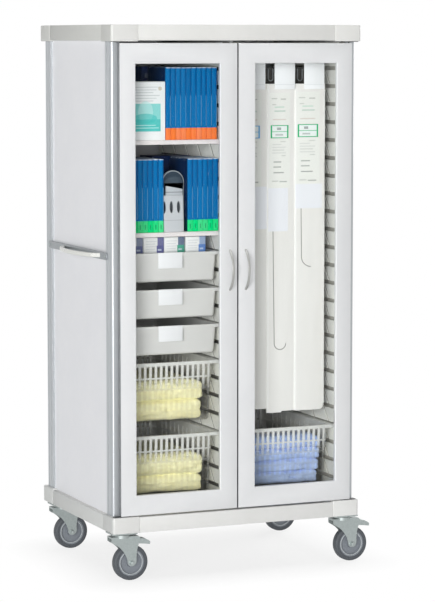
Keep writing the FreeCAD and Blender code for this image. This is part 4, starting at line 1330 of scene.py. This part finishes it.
@dataclass
class ShelfCartons:
    """Upright cartons on the two shelves, with the goods that stand beside them."""

    pitch: float = 0.0193
    deep: float = 0.17
    gap: float = 0.0006
    edge: float = 0.0011
    uneven_top: float = 0.0008
    uneven_front: float = 0.0025
    blue: str = "006BAA"
    second: str = "0878B8"
    orange: str = "FC7F38"
    green: str = "00DD82"
    green_marks: float = 0.55
    setback: float = 0.013
    seat: float = 0.0002
    upper_left: float = -0.2415
    upper_count: int = 10
    upper_tall: float = 0.2505
    lower_left_end: float = -0.2496
    lower_left_count: int = 7
    lower_right: float = -0.1590
    lower_right_count: int = 6
    lower_tall: float = 0.254
    upper_backing: Triple = (-0.262, -0.07, 0.252)
    lower_backing: Triple = (-0.222, -0.072, 0.256)
    backing_gap: float = 0.176
    backing_deep: float = 0.12
    backing_edge: float = 0.0012
    holder_behind: float = 0.001

    def row(self, name: str, left: float, count: int, foot: float, tall: float, front: float, band: str,
            marks: float = 0.0) -> None:
        """A row of upright cartons.

        Args:
            name: name of the piece.
            left: left edge of the row.
            count: number of cartons.
            foot: height of the shelf.
            tall: height of the cartons.
            front: front face of the row.
            band: colour of the band round the foot.
            marks: strength of the plain marks on the band.
        """
        cartons = []
        for number in range(count):
            x = left + number * self.pitch
            top = foot + tall + self.uneven_top * noise.noise((number * 3.7, foot, 0.0))
            face = front + self.uneven_front * noise.noise((number * 5.1, 2.0, foot))
            cartons.append(Bench.block("carton", (x + self.gap, face, foot),
                                       (x + self.pitch - self.gap, face + self.deep, top), self.edge))
        finish = CartonPrint(f"{name}_print", self.blue, self.second, band, foot, tall, self.pitch, left,
                             front, marks)
        stock(Bench.joined(name, cartons), finish)

    def backing(self, name: str, limits: Triple, foot: float, front: float) -> None:
        """A dark box behind the row in front.

        Args:
            name: name of the piece.
            limits: left edge, right edge and height.
            foot: height of the shelf.
            front: front face of the row.
        """
        left, right, tall = limits
        face = front + self.backing_gap
        top = foot + tall
        box = Bench.block(name, (left, face, foot), (right, face + self.backing_deep, top),
                          self.backing_edge)
        mark = (Patch(left + 0.012, left + 0.03, top - 0.04, top - 0.024, "5B6478", 0.7),)
        stock(box, Printed(f"{name}_print", "0A2350", "06183A", mark, roughness=0.4))

    def place(self, shelf: str) -> tuple[float, float]:
        """Height a shelf's goods stand at and where their front is."""
        low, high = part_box(shelf)
        return high.z + self.seat, low.y + self.setback

    def build(self) -> None:
        """Sets all goods on their shelves."""
        foot, front = self.place("shelf_upper")
        self.row("supply_cartons_upper", self.upper_left, self.upper_count, foot, self.upper_tall, front,
                 self.orange)
        WhiteCarton(foot, front).build()
        self.backing("supply_back_box_upper", self.upper_backing, foot, front)
        foot, front = self.place("shelf_lower")
        left = self.lower_left_end - self.lower_left_count * self.pitch
        self.row("supply_cartons_lower_left", left, self.lower_left_count, foot, self.lower_tall, front,
                 self.green, self.green_marks)
        self.row("supply_cartons_lower_right", self.lower_right, self.lower_right_count, foot,
                 self.lower_tall, front, self.green, self.green_marks)
        self.backing("supply_back_box_lower", self.lower_backing, foot, front)
        for good in (BoardHolder, Booklet, Bag):
            good(foot, front + self.holder_behind).build()


@dataclass
class TrayCartons:
    """Small cartons that stand in the upper tray."""

    wide: float = 0.0752
    deep: float = 0.11
    edge: float = 0.001
    lift: float = 0.0028
    rise: float = 0.0515
    setback: float = 0.036
    lefts: tuple[float, ...] = (-0.3942, -0.3155, -0.2381, -0.1575)
    tints: tuple[str, ...] = ("4A5590", "40438C", "1AA183", "3F77C6")
    caps: tuple[str, ...] = ("7C88A8", "4A4D90", "39537E", "8FA6CC")

    def build(self) -> None:
        """Stands the cartons on the tray's floor."""
        low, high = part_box("tray_upper")
        floor = low.z + self.lift
        top = high.z + self.rise
        front = low.y + self.setback
        origin = self.lefts[0]
        blank = Bench.block("tray_carton", (origin, front, floor),
                            (origin + self.wide, front + self.deep, top), self.edge)
        for number, (left, tint, cap) in enumerate(zip(self.lefts, self.tints, self.caps), start=1):
            right = left + self.wide
            piece = Bench.copied(blank, f"supply_tray_carton_{number}", (left - origin, 0.0, 0.0))
            first = (left + 0.008, right - 0.026, top - 0.014, top - 0.0122)
            lines = bars(first, 5, 0.009, 0.006, 2, "CBCED2")
            ends = [
                Patch(right - 0.0235, right + 0.001, top - 0.028, top + 0.01, cap, 0.85),
                Patch(right - 0.0265, right + 0.001, floor, top - 0.028, tint, 0.9),
                Patch(right - 0.0225, right - 0.009, top - 0.046, top - 0.040, "D8E2F0", 0.7),
            ]
            finish = Printed(f"tray_carton_{number}_print", "F4F4F2", "E6E8E9", tuple(lines + ends))
            stock(piece, finish, "tray_upper")
        bpy.data.objects.remove(blank)


@dataclass
class GownStack:
    """Folded gowns stacked in one basket."""

    basket: str
    gown: Gown
    heights: tuple[float, ...]
    half: float = 0.138
    deep: float = 0.38
    inset: float = 0.034
    spread: float = 0.003
    floor: float = 0.0030
    below: float = 0.002
    above: float = 0.004
    round_share: float = 0.42
    fold_half: float = 0.006
    fold_reach: float = 0.03
    fold_depth: float = 0.008
    voxel: float = 0.0065
    frames: int = 14
    pressure: float = 4.0
    reach: float = 0.009
    fill: float = 0.6

    def slab(self, name: str, low: Vector, high: Vector, seed: float) -> Piece:
        """One folded gown before it swells: two leaves that meet in a fold line in front.

        Args:
            name: name of the piece.
            low: lowest corner.
            high: highest corner.
            seed: moves the creases.

        Returns:
            The piece.
        """
        piece = Bench.block(name, low, high, 0.0)
        Bench.divided(piece, 5)
        Bench.bevel(piece, (high.z - low.z) * self.round_share, 5, 40.0)
        Bench.apply(piece, "SUBSURF", levels=2, render_levels=2)
        middle = (low.z + high.z) / 2
        for vertex in piece.data.vertices:
            spot = vertex.co
            broad = noise.noise((spot.x * 7.0 + seed, spot.y * 6.0, spot.z * 14.0))
            fine = noise.noise((spot.x * 16.0, spot.y * 30.0 + seed, spot.z * 60.0))
            near = max(0.0, 1.0 - abs(spot.z - middle) / self.fold_half)
            front = max(0.0, 1.0 - (spot.y - low.y) / self.fold_reach)
            spot.y += near * front * self.fold_depth + 0.003 * fine * front + 0.003 * broad * front
            lift = 1.0 if spot.z > middle else 0.15
            spot.z += (0.004 * broad + 0.002 * fine) * lift
        return piece

    def swell(self, piece: Piece, floor: float) -> None:
        """Puffs a slab up by cloth pressure, no point further than the reach.

        Args:
            piece: the slab.
            floor: height it rests on.
        """
        Bench.apply(piece, "REMESH", mode="VOXEL", voxel_size=self.voxel)
        start = [vertex.co.copy() for vertex in piece.data.vertices]
        modifier = piece.modifiers.new("cloth", "CLOTH")
        modifier.settings.use_pressure = True
        modifier.settings.uniform_pressure_force = self.pressure
        modifier.settings.quality = 4
        modifier.settings.effector_weights.gravity = 0.0
        modifier.point_cache.frame_end = self.frames
        for number in range(1, self.frames + 1):
            bpy.context.scene.frame_set(number)
        Bench.pick(piece)
        bpy.ops.object.modifier_apply(modifier=modifier.name)
        for vertex, origin in zip(piece.data.vertices, start):
            moved = vertex.co - origin
            if moved.length > self.reach:
                moved *= self.reach / moved.length
            vertex.co = origin + moved
            vertex.co.z = max(vertex.co.z, floor)
        bpy.context.scene.frame_set(1)
        Bench.apply(piece, "SUBSURF", levels=1, render_levels=1)

    def build(self) -> None:
        """Stacks the gowns on the basket's floor."""
        low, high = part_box(self.basket)
        z = low.z + self.floor
        centre = (low.x + high.x) / 2
        for number, tall in enumerate(self.heights):
            wider = self.spread * number
            half = self.half + wider
            start = Vector((centre - half, low.y + self.inset - wider, z + self.below))
            end = Vector((centre + half, start.y + self.deep, z + tall - self.above))
            piece = self.slab(f"supply_gown_{self.basket}_{number + 1}", start, end, 3.1 * number + z * 11.0)
            self.swell(piece, z)
            Bench.smooth(piece, 80.0)
            dress(piece, self.gown.material, self.basket)
            z += tall


@dataclass
class Pouch:
    """One long peel pouch that hangs by a tab from a hook."""

    number: int
    left: float
    right: float
    foot: float
    label: Limits
    border: str
    panel: Limits
    line: Optional[BentLine] = None
    step: float = 0.0
    corner: float = 0.0
    top: float = 1.7135
    pitch: float = 0.115
    thick: float = 0.003
    bulge: float = 0.0045
    foot_reach: float = 0.06
    tab_half: float = 0.013
    tab_shift: float = 0.0115

    def sheet(self, face: float) -> Piece:
        """The pouch itself: waved, bulging, with a step or a round corner at its foot.

        Args:
            face: its front face before it bulges.

        Returns:
            The piece.
        """
        middle = (self.left + self.right) / 2
        half = (self.right - self.left) / 2
        piece = Bench.block("pouch", (self.left, face, self.foot),
                            (self.right, face + self.thick, self.top), 0.0)
        Bench.divided(piece, 11)
        Bench.apply(piece, "SUBSURF", levels=2, render_levels=2, subdivision_type="SIMPLE")
        for vertex in piece.data.vertices:
            spot = vertex.co
            across = (spot.x - middle) / half
            rim = max(0.0, 1.0 - across * across) ** 0.5
            wave = noise.noise((spot.x * 9.0, self.number * 4.0, spot.z * 3.2))
            crease = noise.noise((spot.x * 40.0, self.number * 7.0, spot.z * 7.0))
            front = 1.0 if spot.y < face + self.thick / 2 else -0.5
            spot.y += 0.0016 * wave + 0.0005 * crease - front * self.bulge * rim
            spot.x += 0.0012 * noise.noise((self.number * 2.0, 1.0, spot.z * 6.0))
            near_foot = max(0.0, 1.0 - (spot.z - self.foot) / self.foot_reach)
            spot.z += self.step * near_foot * (spot.x > middle)
            outer = max(0.0, (spot.x - (self.right - self.corner)) / max(self.corner, 0.001))
            spot.z += self.corner * near_foot * (1.0 - max(0.0, 1.0 - outer * outer) ** 0.5)
        return piece

    def build(self) -> None:
        """Forms the pouch, sets its tab on the hook and prints it."""
        low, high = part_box("hook_cards")
        hook = (low.x + high.x) / 2 + (self.number - 2) * self.pitch
        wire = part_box("supply_hooks")[0].z + 0.0022
        face = high.y + 0.0255 - 0.005 * self.number
        piece = self.sheet(face)
        tab = Bench.block("tab", (hook - self.tab_half, face + 0.0125, self.top - 0.02),
                          (hook + self.tab_half, face + 0.0132, wire + 0.009), 0.0)
        for vertex in tab.data.vertices:
            if vertex.co.z < self.top:
                vertex.co.y -= self.tab_shift
        Bench.divided(tab, 3)
        pouch = Bench.joined(f"supply_pouch_{self.number}", [piece, tab])
        Bench.smooth(pouch, 80.0)
        stock(pouch, self.finish())

    def finish(self) -> Printed:
        """The pouch's print: seals, a framed box, plain bars and a pale panel.

        Returns:
            The finish.
        """
        left, right, low, high = self.label
        split = low + (high - low) * 0.5
        wide = right - left
        patches = [
            Patch(self.left - 0.01, self.left + 0.007, 0.0, 9.0, "F5F3F0", 0.9),
            Patch(self.right - 0.007, self.right + 0.01, 0.0, 9.0, "F5F3F0", 0.9),
            Patch(left - 0.006, right + 0.006, high + 0.004, high + 0.115, "F3F3ED", 0.8),
            Patch(left - 0.006, right + 0.006, self.panel[3], low - 0.004, "F3F3ED", 0.8),
            Patch(left, right, low, high, self.border),
            Patch(left + 0.0055, right - 0.0055, low + 0.0028, split - 0.001, "F3F8F5"),
            Patch(left + 0.0055, right - 0.0055, split + 0.001, high - 0.0028, "F3F8F5"),
            Patch(left + 0.024, left + 0.040, split + 0.006, split + 0.015, "8B9490", 0.8),
            Patch(left + 0.018, left + 0.048, low + 0.009, low + 0.015, "A9B0AC", 0.7),
            Patch(*self.panel, "F2F2F6"),
        ]
        # Rise over the box, start and end as shares of its width, colour
        lines = (
            (0.092, 0.05, 0.35, "C4C5BE"), (0.090, 0.55, 0.85, "B4B5AE"), (0.071, 0.08, 0.30, "CCCDC6"),
            (0.062, 0.22, 0.75, "BBD8C6"), (0.048, 0.20, 0.82, "AFC9BA"), (0.018, 0.12, 0.85, "DCCFC6"),
            (-0.060, 0.55, 0.85, "CFD0CA"), (-0.070, 0.10, 0.60, "DADBD6"), (-0.080, 0.10, 0.85, "DADBD6"),
            (-0.090, 0.10, 0.75, "D4D5CF"), (-0.100, 0.10, 0.85, "DADBD6"), (-0.110, 0.60, 0.85, "CFD0CA"),
            (-0.132, 0.16, 0.60, "8F918C"), (-0.150, 0.16, 0.58, "8F918C"), (-0.170, 0.16, 0.74, "898B86"),
            (-0.200, 0.08, 0.42, "C4C5BF"), (-0.202, 0.50, 0.92, "9C9E99"),
        )
        for rise, start, end, tint in lines:
            z = high + rise
            patches.append(Patch(left + wide * start, left + wide * end, z, z + 0.004, tint, 0.75))
        return Printed(f"pouch_{self.number}_print", "F1EEEA", "E8E5E1", tuple(patches), self.line,
                       roughness=0.36, fibre=260.0, coat=0.05, crease=0.0012)


@dataclass
class Pouches:
    """Three pouches side by side in the right column, each lapping over the one before."""

    blue: str = "4FA3DC"
    green: str = "22B573"

    def build(self) -> None:
        """Hangs the pouches."""
        Pouch(1, left=0.0480, right=0.1680, foot=0.5560, label=(0.0615, 0.1320, 1.5219, 1.5668),
              border=self.blue, panel=(0.0500, 0.1660, 1.2004, 1.3510)).build()
        Pouch(2, left=0.1600, right=0.2735, foot=0.5405, label=(0.1722, 0.2413, 1.5216, 1.5675),
              border=self.green, panel=(0.1640, 0.2400, 1.1910, 1.3449),
              line=BentLine(0.1875, 1.1910, 0.7900, 0.0225, 0.046), step=0.005).build()
        Pouch(3, left=0.2655, right=0.3840, foot=0.5445, label=(0.2760, 0.3550, 1.5244, 1.5701),
              border=self.green, panel=(0.2670, 0.3714, 1.2707, 1.3577),
              line=BentLine(0.2920, 1.2707, 1.0980, 0.0360, 0.036), corner=0.022).build()


@dataclass
class Studio:
    """Floor, soft lights and the camera of the photograph."""

    spot: Triple = (-3.51875, -8.36512, 1.86649)
    yaw: float = 0.40466
    pitch: float = 0.10297
    focal: float = 2522.62
    long_side: float = 602.0
    sensor: float = 36.0
    floor_side: float = 40.0
    floor_colour: Triple = (0.93, 0.93, 0.93)
    shadow_box: tuple[float, float] = (0.40, 0.31)
    shadow_reach: float = 0.24
    shadow_share: float = 0.80
    sky: float = 0.10

    def floor(self) -> None:
        """Lays a plain pale floor that keeps the shadow near the cart."""
        bpy.ops.mesh.primitive_plane_add(size=self.floor_side, location=(0.0, 0.0, 0.0))
        floor = Bench.settle(bpy.context.active_object, "studio_floor")
        kit = NodeKit(bpy.data.materials.new("studio_floor"))
        x, y, _ = kit.axes()
        aside = (x * x) ** 0.5 - self.shadow_box[0]
        ahead = (y * y) ** 0.5 - self.shadow_box[1]
        far = (aside * aside * (aside > 0.0) + ahead * ahead * (ahead > 0.0)) ** 0.5 / self.shadow_reach
        share = self.shadow_share + (1.0 - self.shadow_share) * far
        matt = kit.add("ShaderNodeBsdfDiffuse", {}, {"Color": self.floor_colour})
        glow = kit.add("ShaderNodeEmission", {}, {"Color": WHITE, "Strength": 1.0})
        floor.data.materials.append(kit.done(kit.blend(kit.seen() * share, matt, glow)))

    def lamp(self, name: str, spot: Triple, aim: Triple, size: float, power: float) -> None:
        """Hangs one soft square lamp.

        Args:
            name: name of the lamp.
            spot: its place.
            aim: the point it faces.
            size: side of the square.
            power: watts.
        """
        data = bpy.data.lights.new(name, "AREA")
        data.shape = "SQUARE"
        data.size = size
        data.energy = power
        lamp = bpy.data.objects.new(name, data)
        self.point(lamp, spot, Vector(aim) - Vector(spot))

    def point(self, item: Piece, spot: Triple, way: Vector) -> None:
        """Puts a lamp or a camera in its place and turns it.

        Args:
            item: the lamp or the camera.
            spot: its place.
            way: direction it looks in.
        """
        item.location = spot
        item.rotation_mode = "QUATERNION"
        item.rotation_quaternion = way.to_track_quat("-Z", "Y")
        bpy.context.scene.collection.objects.link(item)

    def lights(self) -> None:
        """Soft light from the front, the left, the back and above, under a pale world."""
        self.lamp("key", (-12.2, -14.3, 1.8), (0.0, 0.0, 0.9), 7.5, 2840.0)
        self.lamp("fill", (-2.6, -7.2, 1.2), (0.0, 0.0, 0.8), 2.4, 150.0)
        self.lamp("side", (-5.5, 0.6, 2.0), (0.0, 0.0, 1.0), 3.0, 20.0)
        self.lamp("back", (4.5, 3.0, 2.6), (0.0, 0.0, 1.0), 3.0, 150.0)
        self.lamp("top", (0.3, -0.6, 5.0), (0.0, 0.0, 0.0), 3.5, 60.0)
        kit = NodeKit(bpy.data.worlds.new("studio"))
        pale = kit.add("ShaderNodeBackground", {}, {"Color": WHITE, "Strength": self.sky})
        white = kit.add("ShaderNodeBackground", {}, {"Color": WHITE, "Strength": 1.0})
        bpy.context.scene.world = kit.done(kit.blend(kit.seen(), pale, white), "ShaderNodeOutputWorld")

    def camera(self) -> None:
        """Sets the camera where the photographer stood."""
        data = bpy.data.cameras.new("camera")
        data.sensor_width = self.sensor
        data.lens = self.focal * self.sensor / self.long_side
        camera = bpy.data.objects.new("camera", data)
        level = math.cos(self.pitch)
        way = Vector((math.sin(self.yaw) * level, math.cos(self.yaw) * level, -math.sin(self.pitch)))
        self.point(camera, self.spot, way)
        bpy.context.scene.camera = camera

    def build(self) -> None:
        """Sets up the studio."""
        bpy.context.scene.view_settings.view_transform = "Standard"
        self.floor()
        self.lights()
        self.camera()


def main() -> None:
    """Builds every sub-assembly."""
    logging.basicConfig(level=logging.INFO, format="%(name)s: %(message)s")
    Studio().build()
    Carcass().build()
    for side in SIDES:
        Door(side).build()
    PushHandles().build()
    Trays().build()
    Baskets().build()
    HangingRail().build()
    Casters().build()
    ShelfCartons().build()
    TrayCartons().build()
    GownStack("basket_upper_left", Gown.YELLOW, (0.071, 0.065)).build()
    GownStack("basket_lower_left", Gown.YELLOW, (0.060, 0.072)).build()
    GownStack("basket_lower_right", Gown.BLUE, (0.043, 0.043, 0.041, 0.041), half=0.142, deep=0.19).build()
    Pouches().build()


if __name__ == "__main__":
    main()
